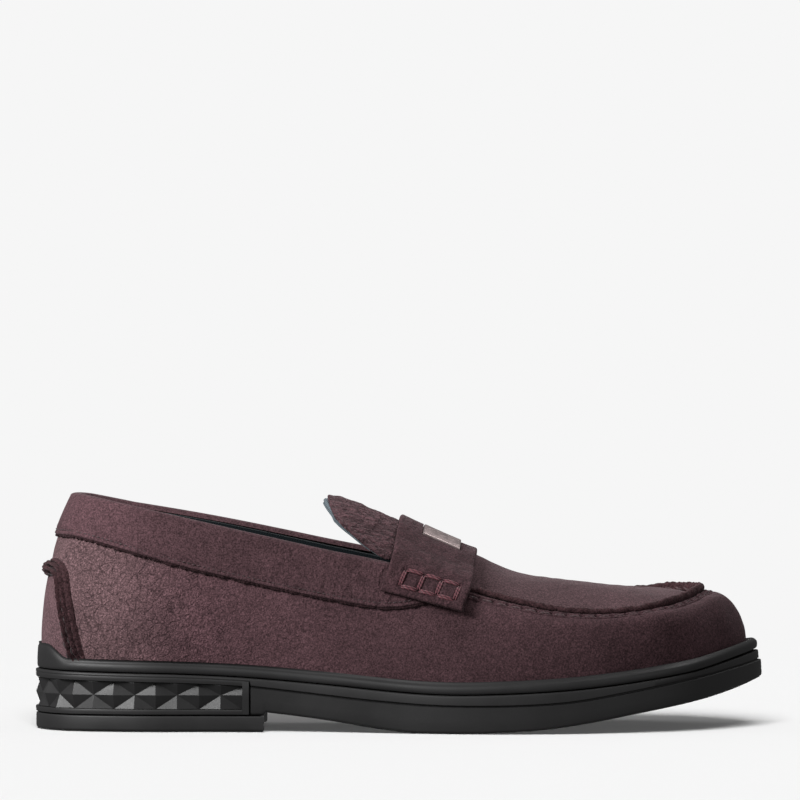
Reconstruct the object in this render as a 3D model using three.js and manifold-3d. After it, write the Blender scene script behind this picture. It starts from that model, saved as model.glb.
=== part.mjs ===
// A moccasin-toe penny loafer for the right foot, in millimetres, +Z up.
// The toe points along +X and the lateral (outer) side of the foot faces -Y.
// Everything is laid out from the back of the heel; the finished group is then
// centred over the origin, so that the shoe stands on Z = 0.
import * as THREE from 'three';
import { mergeVertices } from 'three/addons/utils/BufferGeometryUtils.js';
import Module from 'manifold-3d';

const wasm = await Module();
wasm.setup();

// ---------------------------------------------------------------- dimensions

const GAP = 0.35; // clearance kept between neighbouring pieces
const LEATHER = 1.5; // outer leather
const COLLAR_LEATHER = 1.4;
const LINING = 1.0;
const STIFFENER = 1.0; // heel counter and toe puff
const STIFFENER_AT = -LEATHER - 0.7; // outer face of the stiffeners, from the outer leather's face
const LINING_AT = STIFFENER_AT - STIFFENER - 0.5;
const RAND_HEIGHT = 5;
const RAND_GAP = 0.45;
const TRAY_DEPTH = 3.2; // hollow in the top of the outsole
const LIFT_HEIGHT = 6.5; // rubber wear layer under the heel
const BREAST_X = 95; // front face of the heel
const STUD_PITCH = 8.85; // half a stud's width, measured round the heel
const STUD_CELLS = 24;
const STUD_HALF_HEIGHT = 5.4;
const STUD_MIDDLE_Z = 14.9;
const BAND_MARGIN = 1.2; // rubber left above the studded band
const BAND_RECESS = 3.6;
const APRON_REAR_X = 158; // rear edge of the apron, hidden by the strap
const APRON_SPINE_END_X = 250;
const WELT_REAR_X = 181;
const WELT_WIDTH = 2.6;
const WELT_HEIGHT = 3.1;
const PATCH_TOP = 0.56; // share of the wall's height that the heel patch covers
const PATCH_TOP_S = 0.042; // half its width at the top and at the bottom, round the loop
const PATCH_FOOT_S = 0.075;
const TONGUE_DROP = 0.0205; // how fast the tongue's arch falls away from its crown
const STRAP_LEATHER = 1.6;

// Colours, roughness and metalness of the finishes.
const finish = (color, roughness, metalness = 0) => ({ color, roughness, metalness });
const FINISHES = {
  nubuck: finish(0x5a4246, 0.9),
  rubber: finish(0x2c2b2c, 0.6),
  lining: finish(0x1c2a30, 0.8),
  tongueLining: finish(0x6f8790, 0.85),
  board: finish(0xa8875c, 0.9),
  foam: finish(0x3a3a3d, 0.95),
  steel: finish(0x9a9a9a, 0.4, 1),
  plate: finish(0x8f7d7a, 0.4, 0.9),
  thread: finish(0x7a3a42, 0.6),
};

// ------------------------------------------------------------ curves in plan

const planCurve = (points) =>
  new THREE.CatmullRomCurve3(
    points.map(([x, y]) => new THREE.Vector3(x, y, 0)),
    true,
    'catmullrom',
    0.5,
  );

// Both loops start at the back of the heel and run round the lateral side, the
// toe and the medial side, with matching points.
const SOLE_EDGE = planCurve([
  [0, 0], [11, -26], [40, -36.5], [74, -37], [108, -39],
  [142, -44.5], [176, -52], [210, -54.5], [244, -50], [276, -34],
  [300, 5], [287, 36], [256, 53.5], [220, 56], [184, 49],
  [148, 39.5], [112, 35.5], [76, 35.5], [40, 36], [11, 26],
]);
const TOP_EDGE = planCurve([
  [16.2, 0], [22, -16], [42, -26.5], [72, -30], [102, -31.5],
  [134, -32.5], [165, -35.5], [196, -39.5], [228, -41], [258, -30.5],
  [276, 3], [266, 27.5], [240, 40], [210, 42], [178, 38],
  [146, 34], [112, 32], [78, 30.5], [44, 27], [22, 16],
]);

// A smooth function through (x, value) pairs.
function profile(pairs) {
  const last = pairs.length - 1;
  const slope = (i) => {
    const [a, b] = [pairs[Math.max(i - 1, 0)], pairs[Math.min(i + 1, last)]];
    return (b[1] - a[1]) / (b[0] - a[0]);
  };
  return (x) => {
    if (x <= pairs[0][0]) return pairs[0][1];
    if (x >= pairs[last][0]) return pairs[last][1];
    const i = pairs.findIndex(([px]) => px > x) - 1;
    const width = pairs[i + 1][0] - pairs[i][0];
    const u = (x - pairs[i][0]) / width;
    const rise = pairs[i + 1][1] - pairs[i][1];
    const [m0, m1] = [slope(i) * width, slope(i + 1) * width];
    return pairs[i][1] + u * (m0 + u * (3 * rise - 2 * m0 - m1 + u * (m0 + m1 - 2 * rise)));
  };
}

const smooth = (from, to, x) => THREE.MathUtils.smoothstep(x, from, to);
const mix = THREE.MathUtils.lerp;

// Heights along the shoe.
const soleBottomZ = profile([
  [95.6, 8], [120, 5], [140, 1.8], [152, 0.4], [160, 0], [180, 0], [191, 0.5],
  [205, 1.3], [215, 2.4], [231, 5], [246, 7.8], [259, 10.2], [272, 12.8], [286, 16.3], [300, 20.8],
]);
const edgeGrooveZ = profile([
  [88, 18.6], [96, 17.7], [142, 12.7], [173, 11], [215, 12.3], [246, 17.2], [278, 23.5], [300, 28.2],
]);
const soleTopZ = profile([
  [0, 24.6], [27, 24], [60, 23.3], [89, 21.9], [120, 19.3], [158, 15.9], [184, 15.6],
  [225, 18], [267, 23.9], [293, 30.3], [300, 32.2],
]);
const topEdgeZ = profile([
  [14, 95.9], [21, 95.1], [28, 93.7], [41, 90.9], [54, 88], [80, 82.1], [106, 76.3], [120, 73.2],
  [147, 67.6], [165, 61.6], [182, 55.7], [207, 49.5], [224, 47.3], [240, 47.3], [258, 49.5], [268, 51.9],
  [277, 55],
]);
const medialRise = profile([
  [40, 0], [77, 1.9], [118, 2.6], [150, 2.6], [200, 4], [240, 5.2], [262, 4], [277, 0],
]);
const crownZ = profile([
  [118, 96.5], [121, 96], [126, 95], [132, 93], [139, 90], [149, 85.8], [159, 80.9], [169, 76.4],
  [182, 70.9], [189, 67.6], [198, 64.2], [208, 62.1], [228, 59.8], [246, 57.8], [259, 56.5],
  [272, 55.2],
]);
const seatZ = (x) => soleTopZ(x) + 0.4; // where the upper's lower edge meets the sole

// How far the upper's lower edge and the rand's shoulder stand in from the sole's edge.
const ledge = profile([[0, 3.2], [60, 3], [140, 4], [220, 5], [300, 6.2]]);
const randShoulder = profile([[0, 1.3], [40, 1.9], [240, 1.9], [297, 3.3]]);

// The wall of the upper is a cubic curve at each place round the loop. These give
// its two handles: how far out they lean, and how high they are as a share of the
// wall's height.
const footLean = profile([[0, 2.6], [40, 2.2], [140, 2.5], [200, 3], [260, 1.5], [294, 0.5]]);
const footRise = profile([[0, 0.32], [140, 0.34], [200, 0.42], [294, 0.62]]);
const headLean = profile([[0, 12], [10, 9.5], [30, 6.2], [60, 4.5], [140, 5.5], [200, 9], [294, 10]]);
const headRise = profile([[0, -0.31], [60, -0.3], [140, -0.26], [200, -0.12], [250, 0.05], [294, 0.18]]);

// ------------------------------------------------------- surfaces of the last

const wrap = (s) => ((s % 1) + 1) % 1;

function outwardAt(s) {
  const tangent = SOLE_EDGE.getPoint(wrap(s + 1e-4)).sub(SOLE_EDGE.getPoint(wrap(s - 1e-4)));
  return new THREE.Vector3(tangent.y, -tangent.x, 0).normalize();
}

// A point on the sole's edge, moved inwards, at a height.
function soleEdge(s, inset, z) {
  const edge = SOLE_EDGE.getPoint(wrap(s));
  return edge.addScaledVector(outwardAt(s), -inset).setZ(z);
}

function footPoint(s) {
  const point = soleEdge(s, ledge(SOLE_EDGE.getPoint(wrap(s)).x), 0);
  return point.setZ(seatZ(point.x));
}

function topPoint(s) {
  const point = TOP_EDGE.getPoint(wrap(s));
  const rise = medialRise(point.x) * smooth(0, 25, point.y);
  return point.setZ(topEdgeZ(point.x) + rise);
}

// The outer leather's face: s runs round the shoe, and t from the sole to the top edge.
function wallFace(s, t) {
  const [foot, top, out] = [footPoint(s), topPoint(s), outwardAt(s)];
  const height = top.z - foot.z;
  const x = foot.x;
  const low = foot.clone().addScaledVector(out, footLean(x));
  low.z += height * footRise(x);
  const high = top.clone().addScaledVector(out, headLean(x));
  high.z += height * headRise(x);
  return new THREE.CubicBezierCurve3(foot, low, high, top).getPoint(t);
}

// A point on a surface given by two parameters, moved along its normal.
function lifted(surface, u, v, distance) {
  const step = 1e-3;
  const across = surface(u + step, v).sub(surface(u - step, v));
  const up = surface(u, Math.min(v + step, 1)).sub(surface(u, Math.max(v - step, 0)));
  return surface(u, v).addScaledVector(across.cross(up).normalize(), distance);
}

const wall = (s, t, distance) => lifted(wallFace, s, t, distance);

// The value between low and high where a rising or falling function reaches its target.
function solve(fn, target, low, high) {
  const rising = fn(high) > fn(low);
  for (let i = 0; i < 40; i += 1) {
    const middle = (low + high) / 2;
    if (fn(middle) > target === rising) high = middle;
    else low = middle;
  }
  return (low + high) / 2;
}

const wallShareAtZ = (s, z) => solve((t) => wallFace(s, t).z, z, 0, 0.6);

// Where the top edge reaches a given x, on the lateral or on the medial side.
const LATERAL = [0.02, 0.495];
const MEDIAL = [0.98, 0.505];
const topEdgeAtX = (x, side) => solve((s) => topPoint(s).x, x, ...side);

// ------------------------------------------------------------ mesh builders

class Surface {
  constructor() {
    this.positions = [];
  }

  triangle(a, b, c) {
    const near = (p, q) => p.distanceToSquared(q) < 1e-8;
    if (near(a, b) || near(b, c) || near(c, a)) return;
    this.positions.push(...a, ...b, ...c);
  }

  quad(a, b, c, d, flip = false) {
    if (flip) {
      this.triangle(a, b, d);
      this.triangle(b, c, d);
    } else {
      this.triangle(a, b, c);
      this.triangle(a, c, d);
    }
  }

  geometry() {
    const made = new THREE.BufferGeometry();
    made.setAttribute('position', new THREE.Float32BufferAttribute(this.positions, 3));
    return made;
  }
}

// A sheet of material between two grids of points, [column][row], closed along its edges.
// A folded one has a last row that meets itself, and so no edge there.
function sheet(outer, inner, { ring = false, checker = false, folded = false } = {}) {
  const made = new Surface();
  const columns = outer.length;
  const rows = outer[0].length;
  const spans = ring ? columns : columns - 1;
  for (let i = 0; i < spans; i += 1) {
    const n = (i + 1) % columns;
    for (let j = 0; j < rows - 1; j += 1) {
      const flip = checker && (i + j) % 2 === 1;
      made.quad(outer[i][j], outer[n][j], outer[n][j + 1], outer[i][j + 1], flip);
      made.quad(inner[i][j], inner[i][j + 1], inner[n][j + 1], inner[n][j], flip);
    }
    const top = rows - 1;
    made.quad(inner[i][0], inner[n][0], outer[n][0], outer[i][0]);
    if (!folded) made.quad(outer[i][top], outer[n][top], inner[n][top], inner[i][top]);
  }
  if (!ring) {
    const end = columns - 1;
    for (let j = 0; j < rows - 1; j += 1) {
      made.quad(outer[0][j], outer[0][j + 1], inner[0][j + 1], inner[0][j]);
      made.quad(outer[end][j], inner[end][j], inner[end][j + 1], outer[end][j + 1]);
    }
  }
  return made.geometry();
}

// A solid whose outline is a stack of rings, each closed round the shoe, with a cap
// of strips from the lateral to the medial side at each end.
function stack(rings) {
  const made = new Surface();
  const count = rings[0].length;
  for (let r = 0; r < rings.length - 1; r += 1) {
    for (let i = 0; i < count; i += 1) {
      const n = (i + 1) % count;
      made.quad(rings[r][i], rings[r][n], rings[r + 1][n], rings[r + 1][i]);
    }
  }
  const [bottom, top] = [rings[0], rings[rings.length - 1]];
  for (let i = 0; i < count / 2; i += 1) {
    const [a, b] = [(count - i) % count, count - i - 1];
    made.quad(top[i], top[i + 1], top[b], top[a]);
    made.quad(bottom[i], bottom[a], bottom[b], bottom[i + 1]);
  }
  return made.geometry();
}

// A bar swept through the given sections. A closed one joins its last section to its first.
function sweep(sections, closed = false) {
  const made = new Surface();
  const count = sections.length;
  const sides = sections[0].length;
  for (let i = 0; i < (closed ? count : count - 1); i += 1) {
    const [a, b] = [sections[i], sections[(i + 1) % count]];
    for (let k = 0; k < sides; k += 1) {
      const n = (k + 1) % sides;
      made.quad(a[k], a[n], b[n], b[k]);
    }
  }
  if (!closed) {
    const [first, last] = [sections[0], sections[count - 1]];
    for (let k = 1; k < sides - 1; k += 1) {
      made.triangle(first[0], first[k + 1], first[k]);
      made.triangle(last[0], last[k], last[k + 1]);
    }
  }
  return made.geometry();
}

// A round thread or pin along a path.
function tube(points, radius, steps, sides = 6) {
  const circle = new THREE.Shape();
  for (let k = 0; k < sides; k += 1) {
    const angle = (2 * Math.PI * k) / sides;
    const [x, y] = [radius * Math.cos(angle), radius * Math.sin(angle)];
    if (k === 0) circle.moveTo(x, y);
    else circle.lineTo(x, y);
  }
  const extrudePath = new THREE.CatmullRomCurve3(points);
  return new THREE.ExtrudeGeometry(circle, { steps, extrudePath });
}

// An upright pin with a wider head on top.
function headedPin(x, y, bottomZ, topZ, radius, headRadius, headHeight) {
  const outline = [
    [0, bottomZ], [radius, bottomZ], [radius, topZ - headHeight],
    [headRadius, topZ - headHeight], [headRadius, topZ], [0, topZ],
  ];
  const turned = new THREE.LatheGeometry(outline.map(([r, z]) => new THREE.Vector2(r, z)), 12);
  return turned.rotateX(Math.PI / 2).translate(x, y, 0);
}

// ---------------------------------------------------------------- booleans

function toSolid(geometry) {
  const bare = geometry.index ? geometry.toNonIndexed() : geometry.clone();
  bare.deleteAttribute('normal');
  bare.deleteAttribute('uv');
  const merged = mergeVertices(bare, 1e-3);
  const vertProperties = merged.attributes.position.array;
  const triVerts = new Uint32Array(merged.index.array);
  return new wasm.Manifold(new wasm.Mesh({ numProp: 3, vertProperties, triVerts }));
}

function toGeometry(solid) {
  const mesh = solid.getMesh();
  const made = new THREE.BufferGeometry();
  made.setAttribute('position', new THREE.BufferAttribute(mesh.vertProperties, 3));
  made.setIndex(new THREE.BufferAttribute(mesh.triVerts, 1));
  return made;
}

const cut = (geometry, tools) =>
  toGeometry(tools.reduce((solid, tool) => solid.subtract(toSolid(tool)), toSolid(geometry)));

const drill = (x, y, radius, bottomZ, topZ) =>
  new THREE.CylinderGeometry(radius, radius, topZ - bottomZ, 12)
    .rotateX(Math.PI / 2)
    .translate(x, y, (bottomZ + topZ) / 2);

// ------------------------------------------------- columns round the shoe

const range = (count, from, to) =>
  Array.from({ length: count + 1 }, (_, i) => mix(from, to, i / count));

// Places round the loop at which every solid has a column of points, so that the
// faces of neighbouring layers stay parallel. Each one has a partner across the shoe.
const BAND_END_X = 89;
const soleAtX = (x, side) => solve((s) => SOLE_EDGE.getPoint(s).x, x, ...side);
const HEEL_COLUMNS = [0.014, 0.028, PATCH_TOP_S, 0.058, PATCH_FOOT_S];
const LATERAL_TOE_COLUMNS = [0.4332, 0.4499, 0.4666, 0.4833];
const MEDIAL_TOE_COLUMNS = [0.5203, 0.5406, 0.5609, 0.5812];
const sharpX = [BAND_END_X, BAND_END_X + 0.5, BREAST_X - 0.2, BREAST_X + 0.6];
const evenX = [35, 46, 58, 70, 80, ...range(13, 106, 255)];
const middleX = [...evenX, ...sharpX].sort((a, b) => a - b);
const lateralColumns = [
  ...HEEL_COLUMNS,
  ...middleX.map((x) => soleAtX(x, LATERAL)),
  ...LATERAL_TOE_COLUMNS,
];
const medialColumns = [
  ...MEDIAL_TOE_COLUMNS,
  ...middleX.map((x) => soleAtX(x, MEDIAL)).reverse(),
  ...HEEL_COLUMNS.map((s) => 1 - s).reverse(),
];
const COLUMNS = [0, ...lateralColumns, 0.5, ...medialColumns];

// The columns from one place to another, through the heel when `from` is negative.
function columnsBetween(from, to) {
  const all = [...COLUMNS.map((s) => s - 1), ...COLUMNS];
  const inside = all.filter((s) => s > from + 0.004 && s < to - 0.004);
  return [from, ...inside, to];
}

// A patch of the wall: its columns, its lower and upper edges and its depth.
function wallPatch(columns, rows, low, high, outerAt, thickness, ring = false) {
  const layer = (distance) =>
    columns.map((s) => range(rows, low(s), high(s)).map((t) => wall(s, t, distance)));
  return sheet(layer(outerAt), layer(outerAt - thickness), { ring });
}

// ------------------------------------------------------------------- pieces

const shoe = new THREE.Group();
const tongue = new THREE.Group();
shoe.add(tongue);

function add(name, geometry, look, group = shoe) {
  const mesh = new THREE.Mesh(geometry, new THREE.MeshStandardMaterial(FINISHES[look]));
  mesh.name = name;
  group.add(mesh);
}

// --- sole

const NAIL_SPOTS = [[22, 0], [50, -19], [50, 19], [82, -18], [82, 18]];
const NAIL_RADIUS = 1.2;
const NAIL_HEAD = 2.6;
const NAIL_FOOT_Z = 2.4;
const trayZ = (x) => soleTopZ(x) - TRAY_DEPTH;

function soleRing(insetAt, heightAt) {
  return COLUMNS.map((s) => {
    const point = soleEdge(s, insetAt(SOLE_EDGE.getPoint(s).x), 0);
    return point.setZ(heightAt(point.x));
  });
}

function makeOutsole() {
  const bottom = (x) => (x < BREAST_X + 0.2 ? LIFT_HEIGHT + GAP : soleBottomZ(x));
  const inBand = (x) => x < BAND_END_X + 0.25;
  const ring = (inset, height, bandInset, bandHeight) =>
    soleRing(
      (x) => (inBand(x) ? bandInset : inset),
      (x) => (inBand(x) ? bandHeight(x) : height(x)),
    );
  const trayInset = (x) => ledge(x) + 3.2;
  const body = stack([
    ring(2.4, bottom, BAND_RECESS, bottom),
    ring(0.7, (x) => bottom(x) + 1.4, BAND_RECESS, (x) => bottom(x) + 1.4),
    ring(0, (x) => mix(bottom(x), edgeGrooveZ(x), 0.55), BAND_RECESS, () => STUD_MIDDLE_Z),
    ring(0, (x) => edgeGrooveZ(x) - 0.5, BAND_RECESS, (x) => soleTopZ(x) - BAND_MARGIN - 0.2),
    ring(0.7, edgeGrooveZ, 0, (x) => soleTopZ(x) - BAND_MARGIN),
    ring(0, (x) => edgeGrooveZ(x) + 0.5, 0, (x) => soleTopZ(x) - BAND_MARGIN + 0.2),
    soleRing(() => 0, (x) => soleTopZ(x) - 0.7),
    soleRing(() => 0.8, soleTopZ),
    soleRing(trayInset, soleTopZ),
    soleRing(trayInset, trayZ),
  ]);
  const holes = NAIL_SPOTS.map(([x, y]) => drill(x, y, NAIL_RADIUS + GAP, 0, trayZ(x) + 2));
  return cut(body, holes);
}

function makeTopLift() {
  const outline = new THREE.Shape();
  const ends = [soleAtX(BREAST_X, LATERAL), soleAtX(BREAST_X, MEDIAL) - 1];
  const columns = columnsBetween(ends[1], ends[0]);
  const points = columns.map((s) => soleEdge(s, 0.2, 0));
  points.forEach((p, i) => (i ? outline.lineTo(p.x, p.y) : outline.moveTo(p.x, p.y)));
  const breastHollow = 3.5;
  outline.quadraticCurveTo(BREAST_X - 2 * breastHollow, 0, points[0].x, points[0].y);
  const slab = new THREE.ExtrudeGeometry(outline, {
    depth: LIFT_HEIGHT - 1.2,
    bevelThickness: 0.6,
    bevelSize: 0.6,
    bevelOffset: -0.6,
    bevelSegments: 1,
    curveSegments: 8,
  });
  slab.translate(0, 0, 0.6);
  const holes = NAIL_SPOTS.map(([x, y]) =>
    drill(x, y, NAIL_RADIUS + GAP, NAIL_FOOT_Z - GAP, LIFT_HEIGHT + 2),
  );
  return cut(slab, holes);
}

// The outline's points at equal distances round the heel, for the studs.
function heelArc() {
  const fine = range(600, -0.22, 0.22).map((s) => ({ s, p: SOLE_EDGE.getPoint(wrap(s)) }));
  let run = 0;
  const lengths = fine.map(({ p }, i) => {
    run += i ? p.distanceTo(fine[i - 1].p) : 0;
    return run;
  });
  const middle = run / 2;
  return (distance) => {
    const i = lengths.findIndex((length) => length >= middle + distance);
    return fine[i].s;
  };
}

function makeStudBand() {
  const atDistance = heelArc();
  const columns = range(STUD_CELLS, -1, 1).map((u) => atDistance((u * STUD_CELLS * STUD_PITCH) / 2));
  const [apex, valley, frame] = [0.2, 2, 0.3];
  const bandTop = (x) => soleTopZ(x) - BAND_MARGIN - GAP - 0.2;
  const rows = [
    [() => LIFT_HEIGHT + 0.4, frame, frame],
    [() => STUD_MIDDLE_Z - STUD_HALF_HEIGHT, valley, apex],
    [() => STUD_MIDDLE_Z, apex, valley],
    [() => STUD_MIDDLE_Z + STUD_HALF_HEIGHT, valley, apex],
    [bandTop, frame, frame],
  ];
  const at = (s, inset, z) => {
    const point = soleEdge(s, inset, 0);
    return point.setZ(z(point.x));
  };
  const outer = columns.map((s, i) => rows.map(([z, even, odd]) => at(s, i % 2 ? odd : even, z)));
  const inner = columns.map((s) => rows.map(([z]) => at(s, BAND_RECESS - 1, z)));
  return sheet(outer, inner, { checker: true });
}

// The rand is a rubber strip that hugs the foot of the upper, with a raised tab at the back.
const heelTab = (s) => 5.2 * (1 - smooth(0.016, 0.056, Math.abs(s > 0.5 ? s - 1 : s)));

function makeRand() {
  const sections = COLUMNS.map((s) => {
    const base = soleTopZ(footPoint(s).x) + RAND_GAP;
    const top = base + RAND_HEIGHT + heelTab(s);
    const innerAt = (z) => wall(s, wallShareAtZ(s, z), 0.45);
    const [lowInner, highInner] = [innerAt(base + 0.2), innerAt(top - 0.6)];
    const crest = highInner.clone().addScaledVector(outwardAt(s), 0.9).setZ(top);
    const outer = soleEdge(s, 0.9, 0);
    const outerBase = soleTopZ(outer.x) + RAND_GAP;
    return [
      outer.clone().setZ(outerBase),
      lowInner.setZ(base),
      highInner,
      crest,
      soleEdge(s, randShoulder(outer.x), outerBase + top - base - 1.2),
      outer.clone().setZ(outerBase + 1.6),
    ];
  });
  return sweep(sections, true);
}

add('outsole', makeOutsole(), 'rubber');
add('heel_top_lift', makeTopLift(), 'rubber');
add('heel_stud_band', makeStudBand(), 'rubber');
add('storm_rand', makeRand(), 'rubber');
NAIL_SPOTS.forEach(([x, y], i) => {
  const nail = headedPin(x, y, NAIL_FOOT_Z, trayZ(x) + 1.3, NAIL_RADIUS, NAIL_HEAD, 0.9);
  add(`heel_nail_${i + 1}`, nail, 'steel');
});

// --- inside the sole and under the foot

const SHANK = { from: 62, to: 148, halfWidth: 7, rivets: [76, 134] };
const RIVET_RADIUS = 1.5;

// A slab that follows the sole's curve, between two heights above a base line.
function slab(insetAt, base, from, to) {
  const ring = (rise) =>
    COLUMNS.map((s) => {
      const point = soleEdge(s, insetAt(SOLE_EDGE.getPoint(s).x), 0);
      return point.setZ(base(point.x) + rise);
    });
  return stack([ring(from), ring(to)]);
}

// The stretch of a geometry between two x positions.
function between(geometry, fromX, toX) {
  const box = new THREE.BoxGeometry(toX - fromX, 200, 200).translate((fromX + toX) / 2, 0, 0);
  return toGeometry(toSolid(geometry).intersect(toSolid(box)));
}

const underFoot = (inset) => (x) => ledge(x) + inset;
const fillerSlab = slab(underFoot(4), trayZ, 1.8, TRAY_DEPTH - 0.1);
const rivetHoles = (radius) => SHANK.rivets.map((x) => drill(x, 0, radius, 0, 60));

function makeShank() {
  const stations = range(8, SHANK.from + 2, SHANK.to - 2);
  const sections = stations.map((x) => {
    const z = trayZ(x) + 1.2;
    const w = SHANK.halfWidth;
    return [
      new THREE.Vector3(x, -w, z), new THREE.Vector3(x, 0, z + 0.3), new THREE.Vector3(x, w, z),
      new THREE.Vector3(x, w, z + 1.2), new THREE.Vector3(x, 0, z + 1.5),
      new THREE.Vector3(x, -w, z + 1.2),
    ];
  });
  return cut(sweep(sections), rivetHoles(RIVET_RADIUS + GAP));
}

add('heel_filler', between(fillerSlab, 12, SHANK.from - 1), 'foam');
add('forepart_filler', between(fillerSlab, SHANK.to + 1, 272), 'board');
add('shank', makeShank(), 'steel');
const board = slab(underFoot(5.2), seatZ, 0.3, 2.1);
add('insole_board', cut(board, rivetHoles(RIVET_RADIUS + GAP)), 'board');
SHANK.rivets.forEach((x, i) => {
  const [low, high] = [trayZ(x) + 0.3, seatZ(x) + 2.2];
  add(`shank_rivet_${i + 1}`, headedPin(x, 0, low, high, RIVET_RADIUS, RIVET_RADIUS + 0.2, 0.4), 'steel');
});
add('footbed_foam', slab(underFoot(5.4), seatZ, 2.6, 5), 'foam');
add('sock_liner', slab(underFoot(5.2), seatZ, 5.4, 6.4), 'lining');

// --- upper: walls

// The height of the collar's lower edge, and its share of the wall's height.
const collarSeamZ = profile([
  [6, 79.7], [20, 78.7], [58, 68.2], [89, 61], [120, 54.4], [141, 50.9], [151, 51], [159, 52.4],
  [166, 54.6], [172, 56.8],
]);
const fromHeel = (s) => Math.min(wrap(s), 1 - wrap(s));
const seamGap = (s, t) => {
  const point = wallFace(s, t);
  return point.z - collarSeamZ(point.x);
};
const collarLow = (s) => solve((t) => seamGap(s, t), 0, 0.3, 0.97);
const COLLAR_END = 0.304;
const COLLAR_AT = COLLAR_LEATHER + 0.5; // the collar's face, out from the wall's
const STRAP_REAR = { crown: 149.7, end: 142.2 };
const STRAP_FRONT = { crown: 181.5, end: 176 };
const UNDERLAP = 0.12; // how far the wall runs on under the collar
const wallHigh = (s) => (fromHeel(s) > 0.29 ? 1 : Math.min(1, collarLow(s) + UNDERLAP));

// The lower edge of the wall steps up over the heel patch, along slanting sides.
function wallLow(s) {
  const slant = (PATCH_FOOT_S - fromHeel(s)) / (PATCH_FOOT_S - PATCH_TOP_S);
  return PATCH_TOP * THREE.MathUtils.clamp(slant, 0, 1);
}

function makeHeelPatch() {
  const rows = range(5, 0, PATCH_TOP - 0.012);
  const halfWidth = (t) => mix(PATCH_FOOT_S, PATCH_TOP_S, t / PATCH_TOP) - 0.0014;
  const layer = (distance) =>
    range(10, -1, 1).map((u) => rows.map((t) => wall(u * halfWidth(t), t, distance)));
  return sheet(layer(0), layer(-LEATHER));
}

// Piping that covers the heel patch's seam: up one side, over the top, down the other.
function makeHeelPiping() {
  const foot = 0.12;
  const sideAt = (t) => mix(PATCH_FOOT_S, PATCH_TOP_S, t / PATCH_TOP);
  const climb = range(5, foot, PATCH_TOP - 0.05).map((t) => [sideAt(t), t]);
  const over = [[PATCH_TOP_S - 0.002, PATCH_TOP], [0.017, PATCH_TOP + 0.01], [0, PATCH_TOP + 0.012]];
  const half = [...climb, ...over];
  const path = [...half, ...half.slice(0, -1).reverse().map(([s, t]) => [-s, t])];
  const points = path.map(([s, t]) => wall(s, t, 0));
  const sections = path.map(([s, t], i) => {
    const before = points[Math.max(i - 1, 0)];
    const after = points[Math.min(i + 1, points.length - 1)];
    const along = after.clone().sub(before).normalize();
    const normal = wall(s, t, 1).sub(points[i]);
    const side = normal.clone().cross(along).normalize();
    const at = (a, n) => points[i].clone().addScaledVector(side, a).addScaledVector(normal, n);
    return [at(-1.8, 0.75), at(1.8, 0.75), at(1.4, 2.6), at(-1.4, 2.6)];
  });
  return sweep(sections);
}

const collarColumns = columnsBetween(-COLLAR_END, COLLAR_END);
add('vamp_wall', wallPatch(COLUMNS, 6, wallLow, wallHigh, 0, LEATHER, true), 'nubuck');
add('heel_patch', makeHeelPatch(), 'nubuck');
add('heel_piping', makeHeelPiping(), 'nubuck');
add(
  'collar_band',
  wallPatch(collarColumns, 3, collarLow, () => 0.995, COLLAR_AT, COLLAR_LEATHER),
  'nubuck',
);
add(
  'collar_foam',
  wallPatch(columnsBetween(-0.26, 0.26), 2, (s) => wallHigh(s) + 0.02, () => 0.975, -0.1, 2.6),
  'foam',
);
const LINING_SPLIT = 0.235;
const quarterColumns = columnsBetween(-LINING_SPLIT + 0.002, LINING_SPLIT - 0.002);
add('quarter_lining', wallPatch(quarterColumns, 5, () => 0, () => 0.99, LINING_AT, LINING), 'lining');
const vampColumns = columnsBetween(LINING_SPLIT + 0.002, 1 - LINING_SPLIT - 0.002);
add('vamp_lining', wallPatch(vampColumns, 6, () => 0, () => 0.99, LINING_AT, LINING), 'lining');
add(
  'heel_counter',
  wallPatch(columnsBetween(-0.16, 0.16), 4, () => 0.01, () => 0.64, STIFFENER_AT, STIFFENER),
  'board',
);
add(
  'toe_puff',
  wallPatch(columnsBetween(0.42, 0.58), 6, () => 0, () => 1, STIFFENER_AT, STIFFENER),
  'board',
);

function makeCollarThread() {
  const endAt = (side) => solve((s) => wallFace(s, collarLow(s)).x, STRAP_REAR.end - 3, ...side);
  const stations = range(48, endAt(MEDIAL) - 1, endAt(LATERAL));
  const points = stations.map((s) => wall(s, collarLow(s) + 0.035, COLLAR_AT + 0.75));
  return tube(points, 0.35, 48, 5);
}
add('collar_thread', makeCollarThread(), 'thread');

// --- upper: apron

const WELT_INSET = WELT_WIDTH + 0.75; // the apron's edge, in from the wall's top edge

// A point in from the top edge, square to it in plan.
function insideTop(s, inset, rise) {
  const tangent = topPoint(s + 1e-4).sub(topPoint(s - 1e-4));
  const inward = new THREE.Vector3(-tangent.y, tangent.x, 0).normalize();
  const point = topPoint(s).addScaledVector(inward, inset);
  point.z += rise;
  return point;
}

// The apron's surface runs from its edge, v = 1, to the spine along the middle, v = 0.
function spinePoint(x) {
  const middle = [LATERAL, MEDIAL].map((side) => topPoint(topEdgeAtX(x, side)).y);
  return new THREE.Vector3(x, (middle[0] + middle[1]) / 2, crownZ(x));
}

function apronSection(s, spine, rows, depth) {
  const edge = insideTop(s, WELT_INSET, 0.35);
  return rows.map((v) => {
    const point = spine.clone().lerp(edge, v);
    point.z = edge.z + (spine.z - edge.z) * (1 - v ** 2.2) - depth;
    return point;
  });
}

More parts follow.
